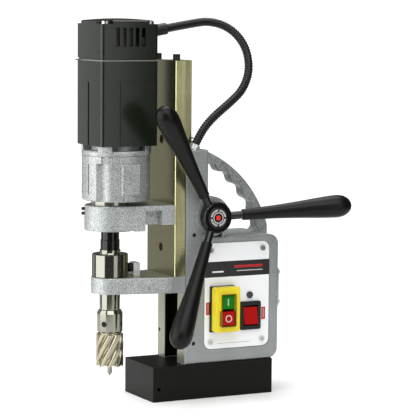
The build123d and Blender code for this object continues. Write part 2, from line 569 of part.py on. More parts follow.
def make_electrics():
    """Control board inside the box, the back plate, and the glands of the cables."""
    board = block((2, 12, 70), (58, 14, 172))
    parts = [board]
    for x, z, size in COMPONENTS:
        parts.append(block((x - size, 1.5, z - size), (x + size, 12, z + size)))
    stands = [rod_y(x, z, 14, BOX_CAVITY_BACK, 3) for x in (8, 52) for z in (76, 164)]
    save("control_board", union(parts + stands))

    half_y, half_z = REAR_COVER_HALF
    face = BOX_BACK + REAR_COVER_THICK
    plate = block((BOX_BACK, -half_y, GLAND_Z - half_z), (face, half_y, GLAND_Z + half_z))
    plate = fillet(plate.edges().filter_by(Axis.X), 4)
    plate = plate - rod_x(GLAND_Y, GLAND_Z, 80, 100, GLAND_HOLE)
    for y, z in REAR_SCREWS:
        plate = plate - rod_x(y, z, 80, 100, REAR_SCREW_RADIUS + 0.3)
    save("rear_cover", plate)
    heads = []
    for y, z in REAR_SCREWS:
        head = rod_x(y, z, face, face + 2.0, REAR_SCREW_HEAD)
        head = head + rod_x(y, z, BOX_BACK - 5, BOX_BACK + 2, REAR_SCREW_RADIUS)
        heads.append(head - block((face + 1.2, y - 2.2, z - 0.4), (face + 2.4, y + 2.2, z + 0.4)))
    for x, z in PANEL_SCREWS:
        heads.append(cap_screw_y(x, z, PANEL_FRONT, PANEL_SCREW_HEAD, 1.6, PANEL_SCREW_RADIUS, 10))
    save("cover_screws", group(heads))

    nut = Location((face, GLAND_Y, GLAND_Z), (0, 90, 0)) * extrude(RegularPolygon(10.5, 6), amount=5)
    cone = turned([(0, 0), (9.2, 0), (7.6, 9.5), (0, 9.5)])
    cone = Location((face + 5, GLAND_Y, GLAND_Z), (0, 90, 0)) * cone
    gland = nut + cone + rod_x(GLAND_Y, GLAND_Z, BOX_BACK - 14, BOX_BACK + 2, GLAND_HOLE - 0.2)
    save("mains_gland", gland - rod_x(GLAND_Y, GLAND_Z, BOX_BACK - 20, BOX_BACK + 30, MAINS_BORE))


# ---------------------------------------------------------------- feed
def make_feed():
    """Pinion shaft, bushes, hub and the three feed handles."""
    pinion = spur_gear(RACK_MODULE, PINION_TEETH, PRESSURE_ANGLE, 0.8, FEED_FACE, math.pi)
    pinion = Location((PINION_X, FEED_FACE / 2, PINION_Z), (90, 0, 0)) * pinion
    shaft = rod_y(PINION_X, PINION_Z, HUB_BACK, BODY_HALF + 4, JOURNAL_RADIUS)
    nose = rod_y(PINION_X, PINION_Z, HUB_FRONT + 3, HUB_BACK, 6.0)
    groove = rod_y(PINION_X, PINION_Z, BODY_HALF + 1.6, BODY_HALF + 2.8, JOURNAL_RADIUS + 1)
    groove = groove - rod_y(PINION_X, PINION_Z, BODY_HALF, BODY_HALF + 4, JOURNAL_RADIUS - 1)
    save("pinion_shaft", pinion + shaft + nose - groove)

    clip = rod_y(PINION_X, PINION_Z, BODY_HALF + 1.6, BODY_HALF + 2.8, 11.5)
    clip = clip - rod_y(PINION_X, PINION_Z, BODY_HALF, BODY_HALF + 5, JOURNAL_RADIUS - 1)
    mouth = block((PINION_X - 2.5, BODY_HALF, PINION_Z), (PINION_X + 2.5, BODY_HALF + 5, PINION_Z + 20))
    clip = clip - mouth
    save("shaft_circlip", clip)

    bushes = []
    for side in (-1, 1):
        inner, outer = GROOVE_HALF + 4, BODY_HALF
        if side < 0:
            outer = -BOSS_FRONT - 0.4
        low, high = sorted((side * inner, side * outer))
        bush = rod_y(PINION_X, PINION_Z, low, high, BUSH_RADIUS)
        bushes.append(bush - rod_y(PINION_X, PINION_Z, low - 1, high + 1, JOURNAL_RADIUS + RUN_GAP))
    save("pinion_bushes", group(bushes))

    hub = rod_y(PINION_X, PINION_Z, HUB_FRONT, HUB_BACK, HUB_RADIUS)
    hub = chamfer(hub.edges().filter_by(GeomType.CIRCLE), 1.4)
    hub = hub - rod_y(PINION_X, PINION_Z, HUB_FRONT + 3, -30, 6.0)
    hub = hub - rod_y(PINION_X, PINION_Z, -80, HUB_FRONT + 1.2, 12.6)
    rods, grips = [], []
    for angle in ring_of(ARM_COUNT, ARM_PHASE):
        place = arm_place(angle)
        hub = hub - place * rod_z(0, 0, ROD_START, 40, ROD_RADIUS)
        rods.append(place * rod_z(0, 0, ROD_START, GRIP_START + 30, ROD_RADIUS))
        grips.append(place * make_grip())
    save("capstan_hub", hub)
    save("feed_rods", group(rods))
    save("feed_grips", group(grips))
    disc = rod_y(PINION_X, PINION_Z, HUB_FRONT - 0.3, HUB_FRONT + 1.2, 12.5)
    save("hub_disc", fillet(disc.faces().sort_by(Axis.Y)[0].edges(), 0.5))


def arm_place(angle):
    """Frame of one feed handle: its Z runs outwards along the handle."""
    swing = Location((PINION_X, ARM_ROOT_Y, PINION_Z)) * Location((0, 0, 0), (0, -angle, 0))
    return swing * Location((0, 0, 0), (0, 90, 0)) * Location((0, 0, 0), (ARM_TILT, 0, 0))


def make_grip():
    """Moulded grip that swells towards its round end, bored for its rod."""
    start = (GRIP_PROFILE[0][0], 0, GRIP_START)
    knots = [(r, 0, z) for r, z in GRIP_PROFILE] + [(0, 0, GRIP_END)]
    swell = Spline(*knots, tangents=[(0.02, 0, 1), (-1, 0, 0)])
    profile = [Line((0, 0, GRIP_START), start), swell, Line((0, 0, GRIP_END), (0, 0, GRIP_START))]
    face = Face(Wire([edge for item in profile for edge in item.edges()]))
    solid = revolve(face, Axis.Z, 360)
    return solid - rod_z(0, 0, GRIP_START - 1, GRIP_START + 30, ROD_RADIUS)


# ---------------------------------------------------------------- carriage
def rack_outline():
    """Straight-flanked rack teeth, with a gap facing the pinion's axis level."""
    pitch = math.pi * RACK_MODULE
    addendum, dedendum = 0.8 * RACK_MODULE, 1.2 * RACK_MODULE
    slope = math.tan(PRESSURE_ANGLE)
    half = pitch / 4 - 0.12
    low, high = PLATE_BOTTOM + 3, RACK_TOP
    first = math.ceil((low + pitch / 2 - PINION_Z) / pitch - 0.5)
    points = [(TONGUE_BACK, low), (RACK_X - dedendum, low)]
    index = first
    while PINION_Z + (index + 0.5) * pitch + half + 1 < high:
        centre = PINION_Z + (index + 0.5) * pitch
        points.append((RACK_X - dedendum, centre - half - dedendum * slope))
        points.append((RACK_X + addendum, centre - half + addendum * slope))
        points.append((RACK_X + addendum, centre + half - addendum * slope))
        points.append((RACK_X - dedendum, centre + half + dedendum * slope))
        index += 1
    points += [(RACK_X - dedendum, high), (TONGUE_BACK, high)]
    return points


def make_slide():
    """Ground slide plate with its guide tongue, the feed rack and the screws on top."""
    plate = block((PLATE_FRONT, -BODY_HALF, PLATE_BOTTOM), (PLATE_BACK, BODY_HALF, PLATE_TOP))
    plate = chamfer(plate.edges().filter_by(Axis.Z), 0.6)
    tongue = block(
        (PLATE_BACK - 1, -LIP_HALF + SLIDE_GAP, PLATE_BOTTOM), (TONGUE_BACK, LIP_HALF - SLIDE_GAP, PLATE_TOP)
    )
    rails = block(
        (LIP_BACK + SLIDE_GAP, -GUIDE_HALF + SLIDE_GAP, PLATE_BOTTOM),
        (TONGUE_BACK, GUIDE_HALF - SLIDE_GAP, PLATE_TOP),
    )
    plate = plate + tongue + rails
    for z in PLATE_HOLES_Z:
        plate = plate - rod_x(0, z, PLATE_FRONT - 1, PLATE_FRONT + 9, PLATE_HOLE_RADIUS)
    for x, y in TOP_SCREWS:
        plate = plate - rod_z(x, y, PLATE_TOP - 12, PLATE_TOP + 1, 2.5)
    save("slide_plate", plate)
    save("feed_rack", plate_y(rack_outline(), -FEED_FACE / 2, FEED_FACE / 2))


def bracket_outline(nose, back):
    """Plan of a bracket: a round nose about the spindle, flaring to the slide's width."""
    shoulder = BRACKET_SHOULDER_X
    reach = math.hypot(shoulder - SPINDLE_X, BODY_HALF)
    tangent = math.atan2(BODY_HALF, shoulder - SPINDLE_X) + math.acos(nose / reach)
    near = (SPINDLE_X + nose * math.cos(tangent), nose * math.sin(tangent))
    far = (near[0], -near[1])
    edges = [
        ThreePointArc(near, (SPINDLE_X - nose, 0), far),
        Polyline(
            far, (shoulder, -BODY_HALF), (back, -BODY_HALF), (back, BODY_HALF), (shoulder, BODY_HALF), near
        ),
    ]
    return Face(Wire([edge for item in edges for edge in item.edges()]))


def make_lower_bracket():
    """Bracket under the slide that steadies the arbor, with the coolant ring on it."""
    plan = bracket_outline(LOWER_NOSE_RADIUS, PLATE_BACK)
    slab = Location((0, 0, LOWER_BRACKET_BOTTOM)) * extrude(plan, amount=PLATE_BOTTOM - LOWER_BRACKET_BOTTOM)
    slab = fillet(slab.faces().sort_by(Axis.Z)[-1].edges().filter_by(GeomType.CIRCLE), 1.5)
    slab = slab - rod_z(SPINDLE_X, 0, LOWER_BRACKET_BOTTOM - 1, PLATE_BOTTOM + 1, ARBOR_NECK + 3.0)
    for y in BRACKET_SCREW_Y:
        slab = slab - rod_z(-45, y, LOWER_BRACKET_BOTTOM - 1, LOWER_BRACKET_BOTTOM + 7, 4.6)
        slab = slab - rod_z(-45, y, LOWER_BRACKET_BOTTOM - 1, PLATE_BOTTOM + 1, 2.6)
    save("lower_bracket", slab)
    bush = tube_z(SPINDLE_X, 0, LOWER_BRACKET_BOTTOM, PLATE_BOTTOM, ARBOR_NECK + 3.0, ARBOR_NECK + RUN_GAP)
    save("arbor_bush", bush)

    ring = turned([
        (ARBOR_NECK + 0.3, PLATE_BOTTOM + 0.2), (RING_RADIUS - 0.7, PLATE_BOTTOM + 0.2),
        (RING_RADIUS, PLATE_BOTTOM + 0.9), (RING_RADIUS, RING_TOP - 0.8), (RING_RADIUS - 0.8, RING_TOP),
        (COLLAR_RADIUS + 0.6, RING_TOP), (COLLAR_RADIUS, RING_TOP + 1.2), (COLLAR_RADIUS, COLLAR_TOP),
        (SPINDLE_TOP_RADIUS + 0.3, COLLAR_TOP), (SPINDLE_TOP_RADIUS + 0.3, 173.0), (ARBOR_NECK + 0.3, 173.0),
    ])
    ring = Location((SPINDLE_X, 0, 0)) * ring
    ring = ring - rod_x(NIPPLE_Y, NIPPLE_Z, SPINDLE_X + 16, SPINDLE_X + 30, 3.0)
    save("coolant_ring", ring)

    barb = rod_x(NIPPLE_Y, NIPPLE_Z, SPINDLE_X + 17, SPINDLE_X + 24, 3.0)
    barb = barb + rod_x(NIPPLE_Y, NIPPLE_Z, SPINDLE_X + 22.0, SPINDLE_X + 26.5, 5.4)
    save("coolant_nipple", barb - rod_x(NIPPLE_Y, NIPPLE_Z, SPINDLE_X, SPINDLE_X + 40, 1.6))
    stop = block((-91.5, -8, PLATE_BOTTOM), (-83.0, 4, 163.8))
    save("stop_block", chamfer(stop.edges().filter_by(Axis.Y), 1.0))


def make_upper_bracket():
    """Bracket that carries the gearbox and the motor on the slide plate."""
    plan = bracket_outline(UPPER_NOSE_RADIUS, PLATE_FRONT)
    height = UPPER_BRACKET_TOP - UPPER_BRACKET_BOTTOM
    slab = Location((0, 0, UPPER_BRACKET_BOTTOM)) * extrude(plan, amount=height)
    slab = fillet(slab.edges().filter_by(GeomType.CIRCLE), 2.0)
    slab = slab - block((UPPER_STEP_X, -60, 190), (0, 60, UPPER_BRACKET_REAR_BOTTOM))
    for side in (-1, 1):
        low, high = sorted((side * SIDE_NOTCH_Y, side * 60.0))
        notch_end = UPPER_STEP_X + SIDE_NOTCH_LENGTH
        slab = slab - block((UPPER_STEP_X, low, 190), (notch_end, high, SIDE_NOTCH_TOP))
    step_low, step_high = UPPER_BRACKET_BOTTOM - 1, UPPER_BRACKET_BOTTOM + 1.2
    seat = tube_z(SPINDLE_X, 0, step_low, step_high, 60, UPPER_NOSE_RADIUS - 1.2)
    seat = seat & block((-160, -60, 200), (-100, 60, 210))
    slab = slab - seat
    slab = slab - rod_z(SPINDLE_X, 0, 190, 240, 17.0)
    for y in BRACKET_SCREW_Y:
        slab = slab - rod_x(y, UPPER_SCREW_Z, -68, -40, 3.1)
        slab = slab - rod_x(y, UPPER_SCREW_Z, -80, -62, 5.2)
    for z in NOSE_SCREW_Z:
        slab = slab - rod_x(NOSE_SCREW_Y, z, -152, -139, 1.2)
    save("upper_bracket", slab)


def make_carriage_screws():
    """Socket screws of the slide, both brackets and the bracket's nose."""
    screws = [cap_screw_z(x, y, PLATE_TOP, 4.3, 7.4, 2.45, 10) for x, y in TOP_SCREWS]
    for y in BRACKET_SCREW_Y:
        head = rod_z(-45, y, LOWER_BRACKET_BOTTOM + 1, LOWER_BRACKET_BOTTOM + 6.9, 4.4)
        shank = rod_z(-45, y, LOWER_BRACKET_BOTTOM + 6, PLATE_BOTTOM - 0.2, 2.5)
        socket = Location((-45, y, LOWER_BRACKET_BOTTOM)) * extrude(RegularPolygon(2.4, 6), amount=4)
        screws.append(head + shank - socket)
        head = rod_x(y, UPPER_SCREW_Z, -67.5, -62.0, 4.9)
        screws.append(head + rod_x(y, UPPER_SCREW_Z, -64, PLATE_FRONT - 0.1, 3.0))
    for z in NOSE_SCREW_Z:
        head = rod_x(NOSE_SCREW_Y, z, -151.2, -148.7, 1.9)
        screws.append(head + rod_x(NOSE_SCREW_Y, z, -149.0, -140, 1.1))
    save("carriage_screws", group(screws))


def on_gearbox(angle, radius):
    """Frame on the gear housing's wall: X points outwards and Z up."""
    return Location((GEARBOX_X, 0, 265)) * Location((0, 0, 0), (0, 0, angle)) * Location((radius, 0, 0))


def groove_column(side, reach, low, high, radius):
    """Upright cylinder on the line of the hollow in the gear housing's side."""
    turn = math.radians(side * GROOVE_ANGLE)
    return rod_z(GEARBOX_X + reach * math.cos(turn), reach * math.sin(turn), low, high, radius)


def make_gearbox():
    """Cast gear housing with its neck, ribs and screw bosses, and the lid under the motor."""
    inner = GEARBOX_RADIUS - GEARBOX_WALL
    shell = rod_z(GEARBOX_X, 0, GEARBOX_BOTTOM, GEARBOX_TOP, GEARBOX_RADIUS)
    shell = chamfer(shell.faces().sort_by(Axis.Z)[0].edges(), 2.0)
    neck = rod_z(SPINDLE_X, 0, UPPER_BRACKET_TOP, GEARBOX_BOTTOM + 1, NECK_RADIUS)
    neck = neck + rod_z(SPINDLE_X, 0, UPPER_BRACKET_BOTTOM + 6, UPPER_BRACKET_TOP + 1, 16.9)
    shell = shell + neck
    for side in (-1, 1):
        panel = Box(4.6, RAISED_WIDTH, RAISED_HEIGHT)
        panel = chamfer(panel.faces().sort_by(Axis.X)[-1].edges(), 1.3)
        shell = shell + on_gearbox(side * RAISED_ANGLE, GEARBOX_RADIUS + RAISED_PROUD - 2.3) * panel
        shell = shell - on_gearbox(side * FLUTE_ANGLE, GEARBOX_RADIUS) * Box(2.4, FLUTE_WIDTH, RAISED_HEIGHT)
    shell = shell - rod_z(GEARBOX_X, 0, GEARBOX_BOTTOM + 6, GEARBOX_TOP + 1, inner)
    hollow_reach = GEARBOX_RADIUS - GROOVE_DEPTH + GROOVE_RADIUS
    for side in (-1, 1):
        shell = shell + groove_column(side, inner - 2.0, GEARBOX_BOTTOM + 5, GEARBOX_TOP, GROOVE_BOSS)
        shell = shell - groove_column(side, hollow_reach, GEARBOX_BOTTOM - 1, GROOVE_TOP, GROOVE_RADIUS)
        shell = shell - groove_column(side, GEARBOX_RADIUS + 0.4, GROOVE_TOP - 1, GEARBOX_TOP + 1, 2.2)
    shell = shell - rod_z(SPINDLE_X, 0, 200, GEARBOX_BOTTOM + 10, BEARING_OUTER)
    shell = shell - rod_z(LAY_X, LAY_Y, GEARBOX_BOTTOM + 3, GEARBOX_BOTTOM + 10, LAY_BEARING)
    for x, y in GEARBOX_SCREWS:
        shell = shell - rod_z(x, y, GEARBOX_TOP - 14, GEARBOX_TOP + 1, 2.1)
    save("gear_housing", shell)

    lid = rod_z(GEARBOX_X, 0, GEARBOX_TOP + 0.4, FLANGE_TOP, FLANGE_RADIUS)
    lid = chamfer(lid.faces().sort_by(Axis.Z)[-1].edges(), 1.6)
    lid = lid + rod_z(MOTOR_X, 0, FLANGE_TOP - 1, PAD_TOP, 30.0)
    for x, y in MOTOR_POSTS:
        pad = rounded_slab(x, y, GEARBOX_TOP + 0.4, PAD_TOP, 7.0, 7.0, 1.5)
        lid = lid + (pad & rod_z(GEARBOX_X, 0, GEARBOX_TOP, PAD_TOP + 1, PAD_REACH))
    lid = lid - rod_z(MOTOR_X, 0, 280, 310, ROTOR_BEARING)
    lid = lid - rod_z(LAY_X, LAY_Y, 280, 297.5, LAY_BEARING)
    for x, y in GEARBOX_SCREWS:
        lid = lid - rod_z(x, y, 280, 320, 2.2) - rod_z(x, y, FLANGE_TOP - 3.9, 320, 3.8)
    for x, y in MOTOR_POSTS:
        lid = lid - rod_z(x, y, 290, 320, 2.2)
    save("gearbox_lid", lid)


def motor_slab(low, high, grow):
    """Prism of the motor's plan: a square with bulging sides and round corners, grown by an offset."""
    half = MOTOR_HALF - MOTOR_BULGE + grow
    belly = MOTOR_HALF + grow
    corners = [(-half, -half), (half, -half), (half, half), (-half, half)]
    middles = [(0, -belly), (belly, 0), (0, belly), (-belly, 0)]
    sides = [
        ThreePointArc(corners[i], middles[i], corners[(i + 1) % 4]) for i in range(4)
    ]
    plan = Face(Wire([edge for side in sides for edge in side.edges()]))
    plan = fillet(plan.vertices(), MOTOR_CORNER + grow)
    return Location((MOTOR_X, 0, low)) * extrude(plan, amount=high - low)


def motor_crown():
    """Shallow dome on top of the motor cap."""
    reach = (MOTOR_HALF - 4.0) * 1.25
    radius = (reach**2 + MOTOR_CROWN**2) / (2 * MOTOR_CROWN)
    dome = Location((MOTOR_X, 0, MOTOR_TOP - 0.2 + MOTOR_CROWN - radius)) * Sphere(radius)
    return motor_slab(MOTOR_TOP - 1.0, MOTOR_TOP + 5.0, -3.0) & dome


def make_motor_shell():
    """Moulded motor casing and its vented cap, with the screws that hold them."""
    body = motor_slab(PAD_TOP, MOTOR_SEAM, 0.0) - motor_slab(PAD_TOP + 3, MOTOR_SEAM + 1, -MOTOR_WALL)
    body = body - rod_z(MOTOR_X, 0, PAD_TOP - 1, PAD_TOP + 5, 22.0)
    raised = motor_slab(PAD_TOP, MOTOR_PANEL_TOP, MOTOR_PANEL_PROUD)
    raised = raised - motor_slab(PAD_TOP - 1, MOTOR_PANEL_TOP + 1, -0.5)
    across = block((MOTOR_X - MOTOR_PANEL_HALF, -60, 300), (MOTOR_X + MOTOR_PANEL_HALF, 60, 400))
    front = block((MOTOR_X - 60, -1, 300), (MOTOR_X - 30, 2 * MOTOR_PANEL_HALF - 1, 400))
    body = body + (raised & across) + (raised & front)
    for x, y in MOTOR_POSTS:
        body = body + rod_z(x, y, PAD_TOP, MOTOR_SEAM, 5.0) - rod_z(x, y, PAD_TOP - 1, MOTOR_SEAM + 1, 2.2)
    save("motor_casing", body)

    lip_top = MOTOR_SEAM + SEAM_LIP
    lip = motor_slab(MOTOR_SEAM, lip_top, SEAM_PROUD) - motor_slab(MOTOR_SEAM - 1, lip_top + 1, -MOTOR_WALL)
    lip = lip + block((MOTOR_X - MOTOR_HALF - 5, 20, MOTOR_SEAM), (MOTOR_X - MOTOR_HALF + 1, 28, lip_top))
    save("motor_gasket", lip)

    low = lip_top
    cap = motor_slab(low, MOTOR_TOP, 0.0)
    cap = fillet(cap.faces().sort_by(Axis.Z)[-1].edges(), 2.5)
    cap = cap + motor_crown()
    cap = cap - (motor_slab(low - 1, low + SEAM_GROOVE, 3.0) - motor_slab(low - 1, low + SEAM_GROOVE, -1.3))
    cap = cap - motor_slab(low - 1, MOTOR_TOP - 3, -MOTOR_WALL)
    for x, y in MOTOR_POSTS:
        out_x, out_y = math.copysign(1.0, x - MOTOR_X), math.copysign(1.0, y)
        seat = Location((x + out_x * 2.5, y + out_y * 2.5, MOTOR_TOP - 4.75)) * Box(19, 19, 4.5)
        cap = cap + (seat & motor_slab(low, MOTOR_TOP, -1.0))
        cap = cap + rod_z(x, y, low, MOTOR_TOP - 4.5, 5.2) - rod_z(x, y, low - 1, MOTOR_TOP + 1, 2.2)
        notch = Box(12 + CAP_NOTCH, 12 + CAP_NOTCH, 8.0)
        place = Location((x + out_x * (12 - CAP_NOTCH) / 2, y + out_y * (12 - CAP_NOTCH) / 2, MOTOR_TOP))
        cap = cap - place * fillet(notch.edges().filter_by(Axis.Z), 3.0)
    for index in range(VENT_COUNT):
        x = MOTOR_X + VENT_OFFSET + (index - (VENT_COUNT - 1) / 2) * VENT_PITCH
        cap = cap - block((x - VENT_HALF, -60, VENT_LOW), (x + VENT_HALF, 60, VENT_HIGH))
    cap = cap - rod_x(0, UPPER_GLAND_Z, MOTOR_X + 28, MOTOR_X + 60, 5.8)
    save("motor_cap", cap)
    screws = [cap_screw_z(x, y, MOTOR_TOP - 4, CAP_SCREW_HEAD, 3.2, 2.0, 141) for x, y in MOTOR_POSTS]
    screws += [cap_screw_z(x, y, FLANGE_TOP - 3.8, 3.4, 3.6, 2.0, 13) for x, y in GEARBOX_SCREWS]
    save("motor_screws", group(screws))


def make_motor_inside():
    """Stator, brushes and bearings inside the motor and the gearbox."""
    stator = tube_z(MOTOR_X, 0, 322, 372, 32.0, 20.6)
    for angle in ring_of(4, 45):
        x = MOTOR_X + 39.6 * math.cos(math.radians(angle))
        y = 39.6 * math.sin(math.radians(angle))
        stator = stator - rod_z(x, y, 320, 374, 9.0)
    save("stator", stator)
    windings = [tube_z(MOTOR_X, 0, low, low + 6, 30.0, 21.4) for low in (315.8, 372.2)]
    save("field_windings", group(windings))
    brushes = []
    for side in (-1, 1):
        low, high = sorted((side * 9.4, side * (MOTOR_HALF - MOTOR_WALL)))
        brushes.append(block((MOTOR_X - 4, low, 388), (MOTOR_X + 4, high, 396)))
    save("brush_holders", group(brushes))
    rotor_races = [
        tube_z(MOTOR_X, 0, 297, 304, ROTOR_BEARING, ROTOR_SHAFT + RUN_GAP),
        tube_z(MOTOR_X, 0, 408, 415, ROTOR_BEARING, ROTOR_SHAFT + RUN_GAP),
    ]
    spindle_races = [
        tube_z(SPINDLE_X, 0, 212, 221, BEARING_OUTER, SPINDLE_TOP_RADIUS - 1 + RUN_GAP),
        tube_z(SPINDLE_X, 0, 232.5, 241.5, BEARING_OUTER, SPINDLE_TOP_RADIUS - 1 + RUN_GAP),
    ]
    lay_races = [
        tube_z(LAY_X, LAY_Y, 242, 245, LAY_BEARING, LAY_SHAFT + RUN_GAP),
        tube_z(LAY_X, LAY_Y, 293, 297.4, LAY_BEARING, LAY_SHAFT + RUN_GAP),
    ]
    save("bearings", group(rotor_races + spindle_races + lay_races))
    bridge = block((MOTOR_X - 34, -8, 404.5), (MOTOR_X + 34, 8, 418))
    bridge = bridge + block((MOTOR_X - 22, -13, 417), (MOTOR_X + 20, 13, 444))
    for y in (-8, 0, 8):
        bridge = bridge - block((MOTOR_X - 30, y - 1.5, 424), (MOTOR_X + 30, y + 1.5, 450))
    bridge = bridge - rod_z(MOTOR_X, 0, 400, 415, ROTOR_BEARING)
    bridge = bridge - rod_z(MOTOR_X, 0, 400, 430, ROTOR_SHAFT + 1)
    save("bearing_bridge", bridge)


def bearing_angle(x_from, y_from, x_to, y_to):
    """Direction in plan from one shaft to another, in radians."""
    return math.atan2(y_to - y_from, x_to - x_from)


def make_gear_train():
    """Rotor, layshaft and spindle gears, meshed with a tooth of each driver facing a gap."""
    to_lay = bearing_angle(MOTOR_X, 0, LAY_X, LAY_Y)
    pinion = spur_gear(GEAR_MODULE, ROTOR_TEETH, GEAR_PRESSURE, 0.8, WHEEL_WIDTH + 2, to_lay)
    rotor = Location((MOTOR_X, 0, WHEEL_Z - 1)) * pinion
    rotor = rotor + rod_z(MOTOR_X, 0, WHEEL_Z + WHEEL_WIDTH + 1, 416, ROTOR_SHAFT)
    armature = rod_z(MOTOR_X, 0, 324, 370, 20.0)
    for angle in ring_of(12):
        x = MOTOR_X + 20.4 * math.cos(math.radians(angle))
        y = 20.4 * math.sin(math.radians(angle))
        armature = armature - rod_z(x, y, 320, 375, 2.2)
    rotor = rotor + armature + rod_z(MOTOR_X, 0, 385, 399, 9.0)
    save("rotor", rotor)
    fan = rod_z(MOTOR_X, 0, 308.2, 309.6, 27.0) + rod_z(MOTOR_X, 0, 308.2, 313.6, 8.0)
    for angle in ring_of(11):
        place = Location((MOTOR_X, 0, 311.4)) * Location((0, 0, 0), (0, 0, angle))
        fan = fan + place * Location((17, 0, 0), (0, 0, 24)) * Box(18, 1.4, 4.4)
    save("cooling_fan", fan - rod_z(MOTOR_X, 0, 300, 320, ROTOR_SHAFT))

    gap_turn = to_lay + math.pi + math.pi / LAY_WHEEL_TEETH
    wheel = spur_gear(GEAR_MODULE, LAY_WHEEL_TEETH, GEAR_PRESSURE, 0.72, WHEEL_WIDTH, gap_turn)
    lay = Location((LAY_X, LAY_Y, WHEEL_Z)) * wheel
    to_spindle = bearing_angle(LAY_X, LAY_Y, SPINDLE_X, 0)
    small = spur_gear(GEAR_MODULE, LAY_PINION_TEETH, GEAR_PRESSURE, 0.8, 26, to_spindle)
    lay = lay + Location((LAY_X, LAY_Y, SPINDLE_GEAR_Z - 2)) * small
    lay = lay + rod_z(LAY_X, LAY_Y, 242.2, 297.2, LAY_SHAFT)
    save("layshaft", lay)

    spindle_turn = to_spindle + math.pi + math.pi / SPINDLE_TEETH
    wheel = spur_gear(GEAR_MODULE, SPINDLE_TEETH, GEAR_PRESSURE, 0.72, SPINDLE_GEAR_WIDTH, spindle_turn)
    wheel = Location((SPINDLE_X, 0, SPINDLE_GEAR_Z)) * wheel
    save("spindle_gear", wheel - rod_z(SPINDLE_X, 0, 250, 280, SPINDLE_TOP_RADIUS - 1))


# ---------------------------------------------------------------- spindle
def make_spindle():
    """Quill, arbor with its two set screws, hollow cutter, and the sprung pilot pin."""
    quill = turned([
        (0, 172), (SPINDLE_TOP_RADIUS, 172), (SPINDLE_TOP_RADIUS, 191.6), (10.7, 192.2), (10.7, 211),
        (SPINDLE_TOP_RADIUS - 1, 211.6), (SPINDLE_TOP_RADIUS - 1, 276), (0, 276),
    ])
    save("spindle", Location((SPINDLE_X, 0, 0)) * quill)

    arbor = turned([
        (0, 81.4), (ARBOR_BODY - 1.4, 81.4), (ARBOR_BODY, 83.4), (ARBOR_BODY, 104.4),
        (ARBOR_NECK + 1.2, 108.4), (ARBOR_NECK, 109.0),
        (ARBOR_NECK, 172.0), (0, 172.0),
    ])
    arbor = Location((SPINDLE_X, 0, 0)) * arbor
    arbor = arbor - rod_z(SPINDLE_X, 0, 60, 106, SHANK_RADIUS)
    arbor = arbor - rod_z(SPINDLE_X, 0, 60, 160, PILOT_RADIUS + RUN_GAP)
    arbor = arbor - rod_z(SPINDLE_X, 0, SPRING_LOW - 4.2, 160, SPRING_RADIUS + 0.4)
    screws = []
    for angle in SET_SCREW_ANGLES:
        turn = Location((SPINDLE_X, 0, SET_SCREW_Z), (0, 0, angle)) * Location((0, 0, 0), (0, 90, 0))
        arbor = arbor - turn * rod_z(0, 0, 8, 20, 3.4)
        socket = Location((0, 0, 12.0)) * extrude(RegularPolygon(1.9, 6), amount=5)
        screws.append(turn * (rod_z(0, 0, SHANK_RADIUS, 13.8, 3.3) - socket))
    save("arbor", arbor)
    save("arbor_screws", group(screws))


def make_cutter():
    """Hollow annular cutter with helical flutes, a toothed rim and a plain shank."""
    height = CUTTER_HIGH - CUTTER_LOW
    points = []
    for flute in range(FLUTE_COUNT):
        base = 360.0 * flute / FLUTE_COUNT
        for share, depth in ((0.0, 0.0), (0.44, 0.15), (0.5, FLUTE_DEPTH), (0.7, FLUTE_DEPTH), (0.94, 0.6)):
            angle = math.radians(base + share * 360.0 / FLUTE_COUNT)
            radius = CUTTER_RADIUS - depth
            points.append((radius * math.cos(angle), radius * math.sin(angle)))
    section = Face(Wire(Polyline(*points, close=True).edges()))
    sections = []
    slices = 9
    for i in range(slices):
        turn = FLUTE_TWIST * i / (slices - 1)
        sections.append(Location((0, 0, height * i / (slices - 1)), (0, 0, turn)) * section)
    body = Solid.make_loft([face.outer_wire() for face in sections], ruled=True)
    body = Location((SPINDLE_X, 0, CUTTER_LOW)) * body
    body = body - rod_z(SPINDLE_X, 0, CUTTER_LOW - 1, CUTTER_HIGH - CUTTER_WEB, CUTTER_BORE)
    for flute in range(FLUTE_COUNT):
        place = Location((SPINDLE_X, 0, CUTTER_LOW), (0, 0, 360.0 * flute / FLUTE_COUNT + 20))
        wedge = place * Location((CUTTER_RADIUS - 2.5, 0, -0.4)) * Box(8, 5.2, 3.2)
        body = body - wedge
    collar = turned([(0, 0), (12.6, 0), (12.6, 1.8), (SHANK_RADIUS, 1.8), (SHANK_RADIUS, 25), (0, 25)])
    body = body + Location((SPINDLE_X, 0, CUTTER_HIGH)) * collar
    body = body - rod_z(SPINDLE_X, 0, 30, 110, PILOT_RADIUS + RUN_GAP)
    save("cutter", body)

    pin = turned([
        (0, PILOT_TIP_Z), (PILOT_RADIUS, PILOT_TIP_Z + 3.4), (PILOT_RADIUS, SPRING_LOW - 4),
        (SPRING_RADIUS, SPRING_LOW - 4), (SPRING_RADIUS, SPRING_LOW), (0, SPRING_LOW),
    ])
    save("pilot_pin", Location((SPINDLE_X, 0, 0)) * pin)
    spring = tube_z(SPINDLE_X, 0, SPRING_LOW, 160, SPRING_RADIUS - 0.2, SPRING_RADIUS - 1.4)
    save("pilot_spring", spring)


# ---------------------------------------------------------------- conduit
def corner_radii(points):
    """Largest arc for each corner of a route: 0.45 of the shorter run over the tangent of half the turn."""
    radii = []
    for before, here, after in zip(points, points[1:], points[2:]):
        first, second = Vector(*here) - Vector(*before), Vector(*after) - Vector(*here)
        turn = math.radians(first.get_angle(second))
        radii.append(0.45 * min(first.length, second.length) / math.tan(turn / 2))
    return radii


